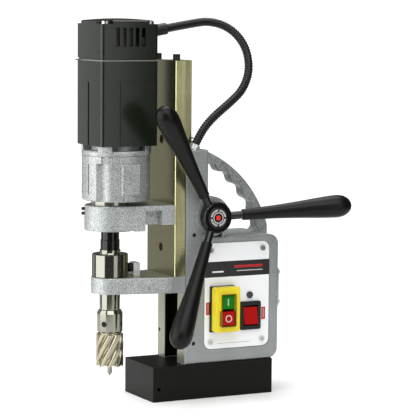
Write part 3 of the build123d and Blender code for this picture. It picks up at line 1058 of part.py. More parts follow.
def make_conduit():
    """Flexible conduit from the casing's top to the motor cap, and the gland at each end."""
    radii = corner_radii(CONDUIT_ROUTE)
    path = FilletPolyline(*CONDUIT_ROUTE, radius=radii)
    print("conduit radii", [round(r, 1) for r in radii], "length", round(path.length, 1))
    tube = sweep(Plane(origin=path @ 0, z_dir=path % 0) * Circle(CONDUIT_RADIUS), path=path)
    print("conduit volume ratio", round(tube.volume / (math.pi * CONDUIT_RADIUS**2 * path.length), 4))
    save("conduit", tube)

    base = rod_z(*CONDUIT_FOOT, UPRIGHT_TOP, UPRIGHT_TOP + 2.4, 7.2)
    base = base + rod_z(*CONDUIT_FOOT, UPRIGHT_TOP - 11, UPRIGHT_TOP + 1, 4.4)
    barrel = aimed_rod(path @ 0, path % 0, -6.4, 0, 6.4)
    above = block((-60, -60, UPRIGHT_TOP), (60, 60, UPRIGHT_TOP + 40))
    save("conduit_gland_lower", base + (barrel & above))
    wall = MOTOR_X + MOTOR_HALF
    barrel = aimed_rod(path @ 1, path % 1, 0, 32, 7.0)
    outside = block((wall, -60, 380), (40, 60, 500))
    stub = aimed_rod(path @ 1, path % 1, 0, 34, 4.6)
    inside = block((wall - 9, -60, 380), (40, 60, 500))
    save("conduit_gland_upper", (barrel & outside) + (stub & inside))


def aimed_rod(point, direction, low, high, radius):
    """Cylinder along a direction, between two distances from a point."""
    seat = Plane(origin=point + direction * low, z_dir=direction)
    return extrude(seat * Circle(radius), amount=high - low)


make_magnet()
make_housing()
make_guide()
make_panel()
make_motor_switch()
make_magnet_switch()
make_electrics()
make_feed()
make_slide()
make_lower_bracket()
make_upper_bracket()
make_carriage_screws()
make_gearbox()
make_motor_shell()
make_motor_inside()
make_gear_train()
make_spindle()
make_cutter()
make_conduit()
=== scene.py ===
"""Magnetic drill press: finishes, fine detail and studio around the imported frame."""

import json
import logging
import math
from dataclasses import dataclass
from enum import Enum
from typing import Any, Iterable, Sequence

import bmesh
import bpy
import numpy as np
from mathutils import Matrix, Vector

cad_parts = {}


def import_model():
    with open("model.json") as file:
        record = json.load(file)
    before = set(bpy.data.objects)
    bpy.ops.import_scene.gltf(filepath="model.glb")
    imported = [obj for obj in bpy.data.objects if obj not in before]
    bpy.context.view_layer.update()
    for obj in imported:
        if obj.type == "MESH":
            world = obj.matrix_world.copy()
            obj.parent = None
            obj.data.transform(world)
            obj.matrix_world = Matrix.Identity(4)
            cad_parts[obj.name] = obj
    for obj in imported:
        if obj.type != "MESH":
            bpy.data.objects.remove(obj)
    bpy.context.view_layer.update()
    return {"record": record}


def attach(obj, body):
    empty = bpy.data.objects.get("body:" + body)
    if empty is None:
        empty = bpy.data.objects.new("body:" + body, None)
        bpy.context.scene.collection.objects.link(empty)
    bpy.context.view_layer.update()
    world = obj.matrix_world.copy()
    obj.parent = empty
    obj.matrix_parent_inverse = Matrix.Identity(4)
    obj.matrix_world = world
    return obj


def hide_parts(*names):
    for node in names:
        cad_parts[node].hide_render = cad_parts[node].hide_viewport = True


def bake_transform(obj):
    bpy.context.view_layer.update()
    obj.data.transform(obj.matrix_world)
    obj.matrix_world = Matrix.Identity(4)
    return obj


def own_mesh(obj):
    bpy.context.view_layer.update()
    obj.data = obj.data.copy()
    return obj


LOG = logging.getLogger("drill")
MM = 0.001
FACES_AWAY = -0.9  # below this, a surface counts as facing along a negative axis

Colour = tuple[float, float, float]
Point = tuple[float, float, float]


class Axis(Enum):
    """A direction of the shared frame."""

    X = 0
    Y = 1
    Z = 2


# ---------------------------------------------------------------- shader maths
class Wire:
    """One output socket of a material, with arithmetic that adds Math nodes."""

    def __init__(self, recipe: "Recipe", socket: bpy.types.NodeSocket) -> None:
        """Keeps the socket and the recipe that it belongs to."""
        self.recipe = recipe
        self.socket = socket

    def math(self, operation: str, *values: Any) -> "Wire":
        """Adds one Math node.

        Args:
            operation: The node's operation.
            values: Its inputs in order, numbers or wires.

        Returns:
            The node's value.
        """
        node = self.recipe.node("ShaderNodeMath", {"operation": operation}, dict(enumerate(values)))
        return Wire(self.recipe, node.outputs[0])

    def __add__(self, other: Any) -> "Wire":
        """Sum."""
        return self.math("ADD", self, other)

    __radd__ = __add__

    def __mul__(self, other: Any) -> "Wire":
        """Product."""
        return self.math("MULTIPLY", self, other)

    __rmul__ = __mul__

    def __sub__(self, other: Any) -> "Wire":
        """Difference."""
        return self.math("SUBTRACT", self, other)

    def __rsub__(self, other: Any) -> "Wire":
        """Difference, with this wire second."""
        return self.math("SUBTRACT", other, self)

    def __pow__(self, other: float) -> "Wire":
        """Power."""
        return self.math("POWER", self, other)

    def __abs__(self) -> "Wire":
        """Size without sign."""
        return self.math("ABSOLUTE", self)

    def __lt__(self, other: Any) -> "Wire":
        """1 where this is below the other, else 0."""
        return self.math("LESS_THAN", self, other)

    def __gt__(self, other: Any) -> "Wire":
        """1 where this is above the other, else 0."""
        return self.math("GREATER_THAN", self, other)

    def sine(self) -> "Wire":
        """Sine of an angle in radians."""
        return self.math("SINE", self)


class Recipe:
    """One material in the making: a Principled shader and the nodes that feed it."""

    def __init__(self, name: str) -> None:
        """Starts a material with that name."""
        self.material = bpy.data.materials.new(name)
        self.material.use_nodes = True
        self.tree = self.material.node_tree
        self.shader = next(n for n in self.tree.nodes if n.type == "BSDF_PRINCIPLED")
        self._place: Wire | None = None

    def node(
        self, kind: str, settings: dict[str, Any] | None = None, inputs: dict[Any, Any] | None = None
    ) -> bpy.types.Node:
        """Adds a node of any kind.

        Args:
            kind: The node's type.
            settings: What is set on it first; "stops" is a colour ramp's list of (position, colour).
            inputs: Socket name or number to a number, a colour or a wire.

        Returns:
            The node.
        """
        node = self.tree.nodes.new(kind)
        for key, value in (settings or {}).items():
            if key == "stops":
                self._set_stops(node, value)
            else:
                setattr(node, key, value)
        for key, value in (inputs or {}).items():
            self.feed(node.inputs[key], value)
        return node

    @staticmethod
    def _set_stops(node: bpy.types.Node, stops: Sequence[tuple[float, Colour]]) -> None:
        """Fills a colour ramp."""
        elements = node.color_ramp.elements
        while len(elements) < len(stops):
            elements.new(1.0)
        for element, (position, colour) in zip(elements, stops):
            element.position = position
            element.color = (*colour, 1.0)

    def feed(self, socket: bpy.types.NodeSocket, value: Any) -> None:
        """Links a wire to a socket, or sets the socket's own value."""
        if isinstance(value, Wire):
            self.tree.links.new(value.socket, socket)
        elif isinstance(value, tuple) and len(value) == 3 and socket.type == "RGBA":
            socket.default_value = (*value, 1.0)
        else:
            socket.default_value = value

    def set(self, **sockets: Any) -> None:
        """Feeds the shader: base_color=... is its Base Color socket."""
        for key, value in sockets.items():
            name = " ".join(word.capitalize() for word in key.split("_")).replace("Ior", "IOR")
            self.feed(self.shader.inputs[name], value)

    @property
    def place(self) -> Wire:
        """The point on the object, in metres."""
        if self._place is None:
            self._place = Wire(self, self.node("ShaderNodeTexCoord").outputs["Object"])
        return self._place

    def parts(self, vector: Wire) -> list[Wire]:
        """The three numbers of a vector."""
        node = self.node("ShaderNodeSeparateXYZ", inputs={0: vector})
        return [Wire(self, out) for out in node.outputs]

    def millimetres(self, centre: Point = (0.0, 0.0, 0.0)) -> list[Wire]:
        """The point's x, y and z in millimetres from a centre that is also in millimetres."""
        x, y, z = self.parts(self.place)
        return [axis * (1 / MM) - middle for axis, middle in zip((x, y, z), centre)]

    def grain(self, size: Point, detail: float = 3.0, roughness: float = 0.55) -> Wire:
        """Noise between 0 and 1.

        Args:
            size: The grains' size along x, y and z, in millimetres.
            detail: How many finer layers are added.
            roughness: How strong the finer layers are.

        Returns:
            The noise.
        """
        scale = tuple(1 / (MM * length) for length in size)
        mapping = self.node("ShaderNodeMapping", inputs={"Vector": self.place, "Scale": scale})
        noise = self.node(
            "ShaderNodeTexNoise",
            inputs={
                "Vector": Wire(self, mapping.outputs[0]),
                "Scale": 1.0,
                "Detail": detail,
                "Roughness": roughness,
            },
        )
        return Wire(self, noise.outputs[0])

    def cells(self, size: float) -> Wire:
        """Distance to the nearest cell centre, for cells of that size in millimetres."""
        cells = self.node("ShaderNodeTexVoronoi", inputs={"Vector": self.place, "Scale": 1 / (MM * size)})
        return Wire(self, cells.outputs["Distance"])

    def ramp(self, value: Wire, *stops: tuple[float, Colour]) -> Wire:
        """Turns a value into a colour by (position, colour) stops."""
        node = self.node("ShaderNodeValToRGB", {"stops": stops}, {0: value})
        return Wire(self, node.outputs[0])

    def mix(self, share: Any, first: Any, second: Any) -> Wire:
        """Colour that is first where share is 0 and second where it is 1."""
        node = self.node("ShaderNodeMix", {"data_type": "RGBA"}, {0: share, 6: first, 7: second})
        return Wire(self, node.outputs[2])

    def facing(self, axis: Axis) -> Wire:
        """How much the surface faces along an axis, from -1 to 1."""
        normal = Wire(self, self.node("ShaderNodeNewGeometry").outputs["Normal"])
        return self.parts(normal)[axis.value]

    def relief(self, height: Wire, depth: float, strength: float = 1.0) -> None:
        """Feeds a height in units of depth, which is in millimetres, to the shader's Normal."""
        inputs = {"Strength": strength, "Distance": depth * MM, "Height": height}
        bump = self.node("ShaderNodeBump", inputs=inputs)
        self.set(normal=Wire(self, bump.outputs[0]))


def toned(colour: Colour, factor: float) -> Colour:
    """The colour made darker or lighter by a factor, up to 1."""
    return tuple(min(1.0, part * factor) for part in colour)


# ---------------------------------------------------------------- finishes
class Machined(Enum):
    """Where a painted casting is bare metal."""

    NOWHERE = "nowhere"
    GUIDE = "guide"
    TOP = "top"
    NECK = "neck"


@dataclass(frozen=True)
class Hammertone:
    """Silver paint with metal flakes: light and dark grains in shallow dimples, with bare machined faces,
    painted shade in the guide channel and a polished band at the neck.
    """

    name: str = "hammertone"
    dark: Colour = (0.050, 0.056, 0.055)
    light: Colour = (0.62, 0.65, 0.64)
    bare: Colour = (0.34, 0.35, 0.27)
    # near-black painted shade for the guide channel's recess; the motor housing sets this colour to its
    # polished neck's steel
    oiled: Colour = (0.022, 0.022, 0.020)
    flake: float = 0.95
    dimple: float = 2.4
    contrast: float = 4.0
    cloudiness: float = 0.25
    roughness: float = 0.36
    bare_roughness: float = 0.24
    shade_and_neck_roughness: float = 0.18
    paint_metal: float = 0.45
    bare_metal: float = 0.6
    shade_and_neck_metal: float = 0.75
    leg_front: float = -37.2
    legs: tuple[float, float] = (43.0, 300.0)
    channel: tuple[float, float, float] = (-37.0, -11.6, 20.3)
    neck: tuple[float, float] = (233.7, 238.9)
    level: float = 0.96
    machined: Machined = Machined.NOWHERE

    def zones(self, r: Recipe) -> tuple[Any, Any]:
        """Finds where the casting isn't painted.

        Args:
            r: The material in the making.

        Returns:
            Two masks: bare bright metal, and a second zone, which for the guide is painted shade in the
                channel and for the neck is polished metal.
        """
        x, y, z = r.millimetres()
        low, high = self.legs
        if self.machined is Machined.GUIDE:
            front, back, half = self.channel
            # painted shade: the guide channel's recess is coloured near-black as the second zone
            channel = (x > front) * (x < back) * (abs(y) < half) * (z > low)
            return (x < self.leg_front) * (z > low) * (z < high), channel
        if self.machined is Machined.TOP:
            return r.facing(Axis.Z) > self.level, 0.0
        return 0.0, (z < self.neck[1]) * (z > self.neck[0])

    def make(self) -> bpy.types.Material:
        """Returns the material."""
        r = Recipe(self.name)
        flakes = r.grain((self.flake,) * 3, detail=4.0, roughness=0.8)
        cloud = r.grain((24.0,) * 3, detail=2.0)
        spread = (flakes - 0.5) * self.contrast + 0.5 + (cloud - 0.5) * self.cloudiness
        colour, metallic = r.ramp(spread, (0.0, self.dark), (1.0, self.light)), self.paint_metal
        roughness, height = self.roughness + cloud * 0.16, flakes * 0.5 + r.cells(self.dimple)
        if self.machined is not Machined.NOWHERE:
            bright, oiled = self.zones(r)
            hair = r.grain((0.5, 40.0, 40.0), detail=3.0)
            bare = r.mix(hair, toned(self.bare, 0.7), self.bare)
            colour = r.mix(oiled, r.mix(bright, colour, bare), self.oiled)
            painted = 1 - (bright + oiled)
            metallic = painted * self.paint_metal + bright * self.bare_metal + oiled * self.shade_and_neck_metal
            roughness = painted * roughness + bright * (self.bare_roughness + hair * 0.12)
            roughness = roughness + oiled * self.shade_and_neck_roughness
            height = height * painted + hair * bright * 0.1
        r.set(base_color=colour, roughness=roughness, metallic=metallic)
        r.relief(height, 0.12, 0.8)
        return r.material


@dataclass(frozen=True)
class Moulded:
    """Plastic or paint in one colour, with a moulded grain and a slight change of tone."""

    name: str
    colour: Colour
    roughness: float = 0.4
    grain: float = 0.9
    depth: float = 0.03
    gloss: float = 0.5
    mottle: float = 0.10

    def make(self) -> bpy.types.Material:
        """Returns the material."""
        r = Recipe(self.name)
        cloud = r.grain((17.0,) * 3, detail=3.0)
        fine = r.grain((self.grain,) * 3, detail=2.0)
        r.set(
            base_color=r.mix(cloud, toned(self.colour, 1 - self.mottle), toned(self.colour, 1 + self.mottle)),
            roughness=self.roughness - 0.06 + cloud * 0.12,
            specular_ior_level=self.gloss,
        )
        r.relief(fine, self.depth, 0.6)
        return r.material


@dataclass(frozen=True)
class Brushed:
    """Metal with a drawn grain along one axis and darker streaks; front darkens its -X face with painted
    shade.
    """

    name: str
    colour: Colour
    along: Axis = Axis.Z
    roughness: float = 0.32
    streak: float = 0.25
    metallic: float = 0.95
    width: float = 0.5
    # share of the colour left on the -X face; below 1 it paints shade there
    front: float = 1.0

    def make(self) -> bpy.types.Material:
        """Returns the material."""
        r = Recipe(self.name)
        size = [self.width] * 3
        size[self.along.value] = 90.0
        wide = [self.width * 9] * 3
        wide[self.along.value] = 260.0
        hair = r.grain(tuple(size), detail=3.0, roughness=0.7)
        band = r.grain(tuple(wide), detail=2.0)
        cloud = r.grain((22.0,) * 3, detail=3.0)
        tone = hair * 0.4 + band * 0.35 + cloud * 0.25
        dark, light = toned(self.colour, 1 - self.streak), toned(self.colour, 1 + self.streak)
        colour = r.ramp(tone, (0.35, dark), (0.65, light))
        # painted shade: the -X face is darkened to stand for the dark surroundings it reflects
        if self.front < 1.0:
            oiled = toned(self.colour, self.front)
            shaded_face_streaks = r.mix(tone, oiled, toned(oiled, 1.3))
            colour = r.mix(r.facing(Axis.X) < FACES_AWAY, colour, shaded_face_streaks)
        r.set(base_color=colour, roughness=self.roughness - 0.08 + tone * 0.16, metallic=self.metallic)
        r.relief(hair, 0.012, 0.5)
        return r.material


@dataclass(frozen=True)
class Turned:
    """Metal turned on a lathe: fine rings along its axis and a slight change of tone."""

    name: str
    colour: Colour
    axis: Axis = Axis.Z
    pitch: float = 0.45
    roughness: float = 0.16
    metallic: float = 1.0
    depth: float = 0.002

    def make(self) -> bpy.types.Material:
        """Returns the material."""
        r = Recipe(self.name)
        along = r.millimetres()[self.axis.value]
        cloud = r.grain((9.0,) * 3, detail=3.0)
        rings = (along * (2 * math.pi / self.pitch) + cloud * 3.0).sine() * 0.5 + 0.5
        size = [30.0] * 3
        size[self.axis.value] = 0.35
        scratch = r.grain(tuple(size), detail=3.0, roughness=0.7)
        r.set(
            base_color=r.mix(scratch, toned(self.colour, 0.82), self.colour),
            roughness=self.roughness - 0.04 + scratch * 0.14 + cloud * 0.05,
            metallic=self.metallic,
        )
        r.relief(rings * 0.4 + scratch * 0.6, self.depth, 0.5)
        return r.material


@dataclass(frozen=True)
class Printed:
    """White enamel of the switch panel, with a black band, two red fields and plain rules printed on it."""

    name: str = "panel_white"
    white: Colour = (0.86, 0.87, 0.88)
    black: Colour = (0.012, 0.012, 0.012)
    red: Colour = (0.42, 0.012, 0.014)
    band: tuple[float, float] = (144.8, 163.6)
    fields: tuple[tuple[float, float], ...] = ((-7.4, 107.5), (67.6, 98.0))
    field_half: tuple[float, float] = (2.7, 7.6)
    field_edge: tuple[float, float] = (0.9, 1.6)
    stripe_half: float = 0.5
    stripe: Colour = (0.55, 0.40, 0.38)
    rules: tuple[tuple[float, float, float, float], ...] = (
        (-2.0, 13.0, 151.2, 0.9), (31.0, 66.0, 151.4, 0.45), (6.0, 50.0, 64.6, 0.3),
    )
    badge: tuple[float, float, float, float] = (27.5, 66.0, 156.6, 1.5)
    rule_tones: tuple[Colour, ...] = ((0.80, 0.80, 0.80), (0.62, 0.62, 0.62), (0.35, 0.35, 0.36))

    def make(self) -> bpy.types.Material:
        """Returns the material."""
        r = Recipe(self.name)
        x, _, z = r.millimetres()
        facing = r.facing(Axis.Y) < FACES_AWAY
        band = (z > self.band[0]) * (z < self.band[1]) * facing
        colour = r.mix(r.grain((30.0,) * 3), toned(self.white, 0.97), self.white)
        colour = r.mix(band, colour, self.black)
        for middle_x, middle_z in self.fields:
            across, upright = abs(x - middle_x), abs(z - middle_z)
            field = (across < self.field_half[0]) * (upright < self.field_half[1]) * facing
            edge_x, edge_z = (half - edge for half, edge in zip(self.field_half, self.field_edge))
            stripe = (across < edge_x) * (upright < edge_z) * (across < self.stripe_half)
            colour = r.mix(field, colour, self.red)
            colour = r.mix(stripe * facing, colour, self.stripe)
        marks = [(rule, tone) for rule, tone in zip(self.rules, self.rule_tones)] + [(self.badge, self.red)]
        for (low, high, height, half), tone in marks:
            mark = (x > low) * (x < high) * (abs(z - height) < half) * facing
            colour = r.mix(mark, colour, tone)
        r.set(base_color=colour, roughness=0.27 + r.grain((4.0,) * 3) * 0.06)
        r.relief(r.grain((2.2,) * 3), 0.006, 0.4)
        return r.material


@dataclass(frozen=True)
class Dial:
    """Printed hub disc: black, with a ring of fine ticks, a thin ring and a red middle."""

    name: str = "hub_disc"
    middle: Point = (-3.5, 0.0, 218.0)
    ticks: int = 36
    tick_ring: tuple[float, float] = (7.6, 10.2)
    thin_ring: tuple[float, float] = (6.1, 0.35)
    spot_radius: float = 3.0
    black: tuple[Colour, Colour] = ((0.010, 0.010, 0.010), (0.016, 0.016, 0.016))
    white: Colour = (0.75, 0.75, 0.74)
    red: Colour = (0.75, 0.03, 0.02)

    def make(self) -> bpy.types.Material:
        """Returns the material. A tick shows where the sine of (ticks times the angle) is high."""
        r = Recipe(self.name)
        x, _, z = r.millimetres(self.middle)
        radius = (x * x + z * z) ** 0.5
        angle = x.math("ARCTAN2", x, z)
        inner, outer = self.tick_ring
        tick = ((angle * self.ticks).sine() > 0.1) * (radius > inner) * (radius < outer)
        gap = abs((angle * 2).sine()) > 0.22
        ring = abs(radius - self.thin_ring[0]) < self.thin_ring[1]
        cloud = r.grain((6.0,) * 3)
        colour = r.mix(cloud, *self.black)
        colour = r.mix(tick * gap, colour, self.white)
        colour = r.mix(ring, colour, self.white)
        colour = r.mix(radius < self.spot_radius, colour, self.red)
        r.set(base_color=colour, roughness=0.16 + cloud * 0.08)
        return r.material


# ---------------------------------------------------------------- surfaces
def grid_faces(rows: int, columns: int, close_rows: bool, close_columns: bool) -> np.ndarray:
    """Corner numbers of the quads of a grid of points.

    Args:
        rows: Points along the first parameter.
        columns: Points along the second.
        close_rows: Whether the last row joins the first.
        close_columns: Whether the last column joins the first.

    Returns:
        One row of four point numbers for each quad.
    """
    i = np.arange(rows if close_rows else rows - 1)[:, None]
    j = np.arange(columns if close_columns else columns - 1)[None, :]
    down, across = (i + 1) % rows, (j + 1) % columns
    quads = [i * columns + j, down * columns + j, down * columns + across, i * columns + across]
    return np.stack([np.broadcast_to(q, (i.size, j.size)) for q in quads], axis=-1).reshape(-1, 4)


def end_caps(rows: int, columns: int) -> list[list[int]]:
    """Point numbers of a grid's first and last rows, as two end faces."""
    last = (rows - 1) * columns
    return [list(range(columns)), [last + k for k in reversed(range(columns))]]


def shell(
    name: str, points: np.ndarray, quads: np.ndarray, caps: Sequence[Sequence[int]] = ()
) -> bpy.types.Object:
    """Makes a smooth mesh object.

    Args:
        name: Its name.
        points: Its points, in metres.
        quads: Point numbers of its four-sided faces.
        caps: Point numbers of its end faces.

    Returns:
        The object.
    """
    mesh = bpy.data.meshes.new(name)
    faces = quads.tolist() + [list(cap) for cap in caps]
    mesh.from_pydata(points.reshape(-1, 3).tolist(), [], faces)
    mesh.validate()
    mesh.polygons.foreach_set("use_smooth", np.ones(len(mesh.polygons), bool))
    mesh.update()
    piece = bpy.data.objects.new(name, mesh)
    bpy.context.scene.collection.objects.link(piece)
    LOG.info("%s: %d faces", name, len(mesh.polygons))
    return piece


def face_outwards(piece: bpy.types.Object) -> None:
    """Turns a closed mesh's faces outwards."""
    work = bmesh.new()
    work.from_mesh(piece.data)
    bmesh.ops.recalc_face_normals(work, faces=work.faces)
    work.to_mesh(piece.data)
    work.free()


def finish_piece(piece: bpy.types.Object, finish: Any, body: str | None = None) -> None:
    """Gives a piece its finish, and lets it ride on a body if one is named."""
    piece.data.materials.clear()
    piece.data.materials.append(finish.make())
    if body:
        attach(piece, body)


# ---------------------------------------------------------------- conduit
@dataclass
class Conduit:
    """Ribbed flexible conduit from the top of the casting to the motor cap."""

    route: tuple[Point, ...] = (
        (-21.0, -28.0, 303.3), (-12.4, -28.0, 320.2), (4.5, -27.5, 337.0), (26.5, -25.5, 352.5),
        (46.0, -21.5, 367.5), (57.5, -16.5, 391.0), (54.5, -11.5, 419.0), (37.0, -6.5, 440.5),
        (10.0, -2.5, 449.5), (-19.0, -0.5, 445.0), (-47.0, 0.0, 440.0),
    )
    radius: float = 5.25
    rib: float = 3.1
    rib_depth: float = 0.75
    steps_per_rib: int = 8
    crest_power: float = 0.6
    sides: int = 20
    still_until: Point = (-24.0, 0.0, 306.0)
    moving_from: Point = (-70.0, 0.0, 430.0)
    declared_length: float = 0.263
    finish: Moulded = Moulded("conduit_black", (0.004, 0.004, 0.004), 0.26, 1.0, 0.004, 0.35)

    def centreline(self) -> np.ndarray:
        """Points of a smooth spline through the route's control points, in metres."""
        curve = bpy.data.curves.new("conduit_line", "CURVE")
        curve.dimensions = "3D"
        curve.resolution_u = 40
        spline = curve.splines.new("NURBS")
        spline.points.add(len(self.route) - 1)
        flat = np.ones((len(self.route), 4))
        flat[:, :3] = np.array(self.route) * MM
        spline.points.foreach_set("co", flat.ravel())
        spline.order_u = 3
        spline.use_endpoint_u = True
        holder = bpy.data.objects.new("conduit_line", curve)
        line = bpy.data.meshes.new_from_object(holder)
        points = np.empty(len(line.vertices) * 3)
        line.vertices.foreach_get("co", points)
        bpy.data.objects.remove(holder)
        bpy.data.meshes.remove(line)
        return points.reshape(-1, 3)

    def build(self) -> bpy.types.Object:
        """Builds the tube.

        At arc length s and turn t a point is line(s) + r(s) (cos t side + sin t upper), where the radius
        r(s) = radius - depth/2 + depth/2 * shaped cosine of 2 pi s / rib.

        Returns:
            The tube.
        """
        line = self.centreline()
        steps = np.linalg.norm(np.diff(line, axis=0), axis=1)
        along = np.concatenate([[0.0], np.cumsum(steps)])
        length = along[-1]
        count = int(length / (self.rib * MM)) * self.steps_per_rib
        s = np.linspace(0.0, length, count)
        centre = np.stack([np.interp(s, along, line[:, k]) for k in range(3)], axis=1)
        ahead = np.gradient(centre, axis=0)
        ahead /= np.linalg.norm(ahead, axis=1)[:, None]
        side = np.cross(ahead, np.array([0.0, 1.0, 0.0]))
        side /= np.linalg.norm(side, axis=1)[:, None]
        upper = np.cross(ahead, side)
        wave = np.cos(2 * math.pi * s / (self.rib * MM))
        crest = np.sign(wave) * np.abs(wave) ** self.crest_power
        radius = (self.radius - self.rib_depth / 2 + crest * self.rib_depth / 2) * MM
        turn = np.linspace(0, 2 * math.pi, self.sides, endpoint=False)
        out_side = np.cos(turn)[None, :, None] * side[:, None, :]
        out_upper = np.sin(turn)[None, :, None] * upper[:, None, :]
        points = centre[:, None, :] + radius[:, None, None] * (out_side + out_upper)
        quads = grid_faces(count, self.sides, False, True)
        tube = shell("conduit_ribbed", points, quads, end_caps(count, self.sides))
        face_outwards(tube)
        finish_piece(tube, self.finish)
        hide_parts("conduit")
        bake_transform(tube)
        return tube


# ---------------------------------------------------------------- turned pieces
@dataclass
class PilotSpring:
    """Coil spring that pushes the pilot pin down, inside the arbor."""

    middle: tuple[float, float] = (-118.5, 0.0)
    low: float = 122.7
    high: float = 159.3
    anchor: float = 160.0
    coil: float = 3.6
    wire: float = 0.6
    turns: float = 6.0
    steps: int = 145
    sides: int = 8
    keep: float = 0.21

    def build(self) -> bpy.types.Object:
        """Builds the coil.

        The wire's middle is (coil cos t, coil sin t, low + (high - low) t / (2 pi turns)), and its round
        section lies in the plane of the coil's radius and the machine's height.

        Returns:
            The spring.
        """
        t = np.linspace(0.0, 2 * math.pi * self.turns, self.steps)[:, None]
        a = np.linspace(0.0, 2 * math.pi, self.sides, endpoint=False)[None, :]
        reach = self.coil + self.wire * np.cos(a)
        height = self.low + (self.high - self.low) * t / t[-1, 0] + self.wire * np.sin(a)
        x, y = self.middle[0] + reach * np.cos(t), self.middle[1] + reach * np.sin(t)
        points = np.stack([x, y, height], axis=-1) * MM
        quads = grid_faces(self.steps, self.sides, False, True)
        spring = shell("pilot_coil", points, quads, end_caps(self.steps, self.sides))
        face_outwards(spring)
        finish_piece(spring, GROUND_STEEL, "spindle")
        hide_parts("pilot_spring")
        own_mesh(spring)
        return spring


@dataclass
class Cutter:
    """Hollow cutter with helical flutes, a toothed rim and a plain shank."""

    middle: tuple[float, float] = (-118.5, 0.0)
    low: float = 41.0
    high: float = 79.6
    radius: float = 16.3
    bore: float = 11.4
    bore_top: float = 70.6
    pin_hole: float = 2.65
    shank: tuple[tuple[float, float], ...] = ((12.6, 79.6), (12.6, 81.4), (9.5, 81.4), (9.5, 104.0))
    flutes: int = 9
    twist: float = 84.0
    tooth: float = 1.7
    shares: tuple[float, ...] = (0.0, 0.44, 0.50, 0.70, 0.94, 1.0)
    depths: tuple[float, ...] = (0.0, 0.15, 3.0, 3.0, 0.6, 0.0)
    columns: int = 288
    rows: int = 44
    crease: float = 32.0

    def build(self) -> bpy.types.Object:
        """Builds the cutter.

        At height share h and turn t the outer radius is R - depth(f), where f is the fraction of
        flutes (t - twist h) / (2 pi). The rim rises by tooth * f / f_land behind each cutting edge.

        Returns:
            The cutter.
        """
        t = np.linspace(0.0, 2 * math.pi, self.columns, endpoint=False)
        rim_share = (t * self.flutes / (2 * math.pi)) % 1.0
        rim = self.low + self.tooth * np.clip(rim_share / self.shares[1], 0.0, 1.0)
        outline = [(self.pin_hole, self.bore_top), (self.bore, self.bore_top), (self.bore, rim)]
        for h in np.linspace(0.0, 1.0, self.rows):
            share = ((t - math.radians(self.twist) * h) * self.flutes / (2 * math.pi)) % 1.0
            reach = self.radius - np.interp(share, self.shares, self.depths)
            outline.append((reach, rim + (self.high - rim) * h))
        outline += list(self.shank) + [(self.pin_hole, self.shank[-1][1])]
        reach = np.array([np.broadcast_to(r, t.shape) for r, _ in outline])
        height = np.array([np.broadcast_to(z, t.shape) for _, z in outline])
        x, y = self.middle[0] + reach * np.cos(t), self.middle[1] + reach * np.sin(t)
        points = np.stack([x, y, height], axis=-1) * MM
        cutter = shell("fluted_cutter", points, grid_faces(len(outline), self.columns, True, True))
        face_outwards(cutter)
        cutter.data.set_sharp_from_angle(angle=math.radians(self.crease))
        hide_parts("cutter")
        return cutter


# ---------------------------------------------------------------- small marks
def rounded_rectangle(half_x: float, half_z: float, corner: float, arc: int = 5) -> np.ndarray:
    """Outline points (x, z): four quarter circles of the corner radius joined by straight sides."""
    quarter = np.linspace(0, math.pi / 2, arc)
    centres = [(1, 1, 0.0), (-1, 1, 0.5), (-1, -1, 1.0), (1, -1, 1.5)]
    return np.concatenate([
        np.stack([
            sx * (half_x - corner) + corner * np.cos(quarter + turn * math.pi),
            sz * (half_z - corner) + corner * np.sin(quarter + turn * math.pi),
        ], axis=1)
        for sx, sz, turn in centres
    ])


@dataclass(frozen=True)
class Frame:
    """One rounded rectangular frame that stands out towards -Y, in millimetres.

    Args:
        name: The piece's name.
        middle: (x, z) of its middle.
        half: Half its outer width and height.
        corner: Outer corner radius.
        width: Width of the frame's bar.
        back: y of its back.
        front: y of its front.
        edge: Size of its front edges' chamfer.
        least_corner: Smallest corner radius inside the bar.
    """

    name: str
    middle: tuple[float, float]
    half: tuple[float, float]
    corner: float
    width: float
    back: float
    front: float
    edge: float
    least_corner: float = 0.15

    def mesh(self) -> bpy.types.Object:
        """Makes the frame's mesh.

        Its section runs round a rectangle of width x (back - front) with its front corners cut by edge,
        and it is carried along the outline offset inwards by each section point's own inset.

        Returns:
            The piece.
        """
        section = [
            (0.0, self.back), (0.0, self.front + self.edge), (self.edge, self.front),
            (self.width - self.edge, self.front), (self.width, self.front + self.edge),
            (self.width, self.back),
        ]
        rows = []
        for inset, y in section:
            corner = max(self.corner - inset, self.least_corner)
            outline = rounded_rectangle(self.half[0] - inset, self.half[1] - inset, corner)
            x, z = (outline + np.array(self.middle)).T
            rows.append(np.stack([x, np.full(len(outline), y), z], axis=1))
        points = np.array(rows) * MM
        piece = shell(self.name, points, grid_faces(len(section), points.shape[1], True, True))
        face_outwards(piece)
        piece.data.polygons.foreach_set("use_smooth", np.zeros(len(piece.data.polygons), bool))
        return piece

    def build(self, finish: Moulded, slot: str, body: str) -> None:
        """Builds the frame in a finish and lets it ride on a body."""
        finish_piece(self.mesh(), finish, body)


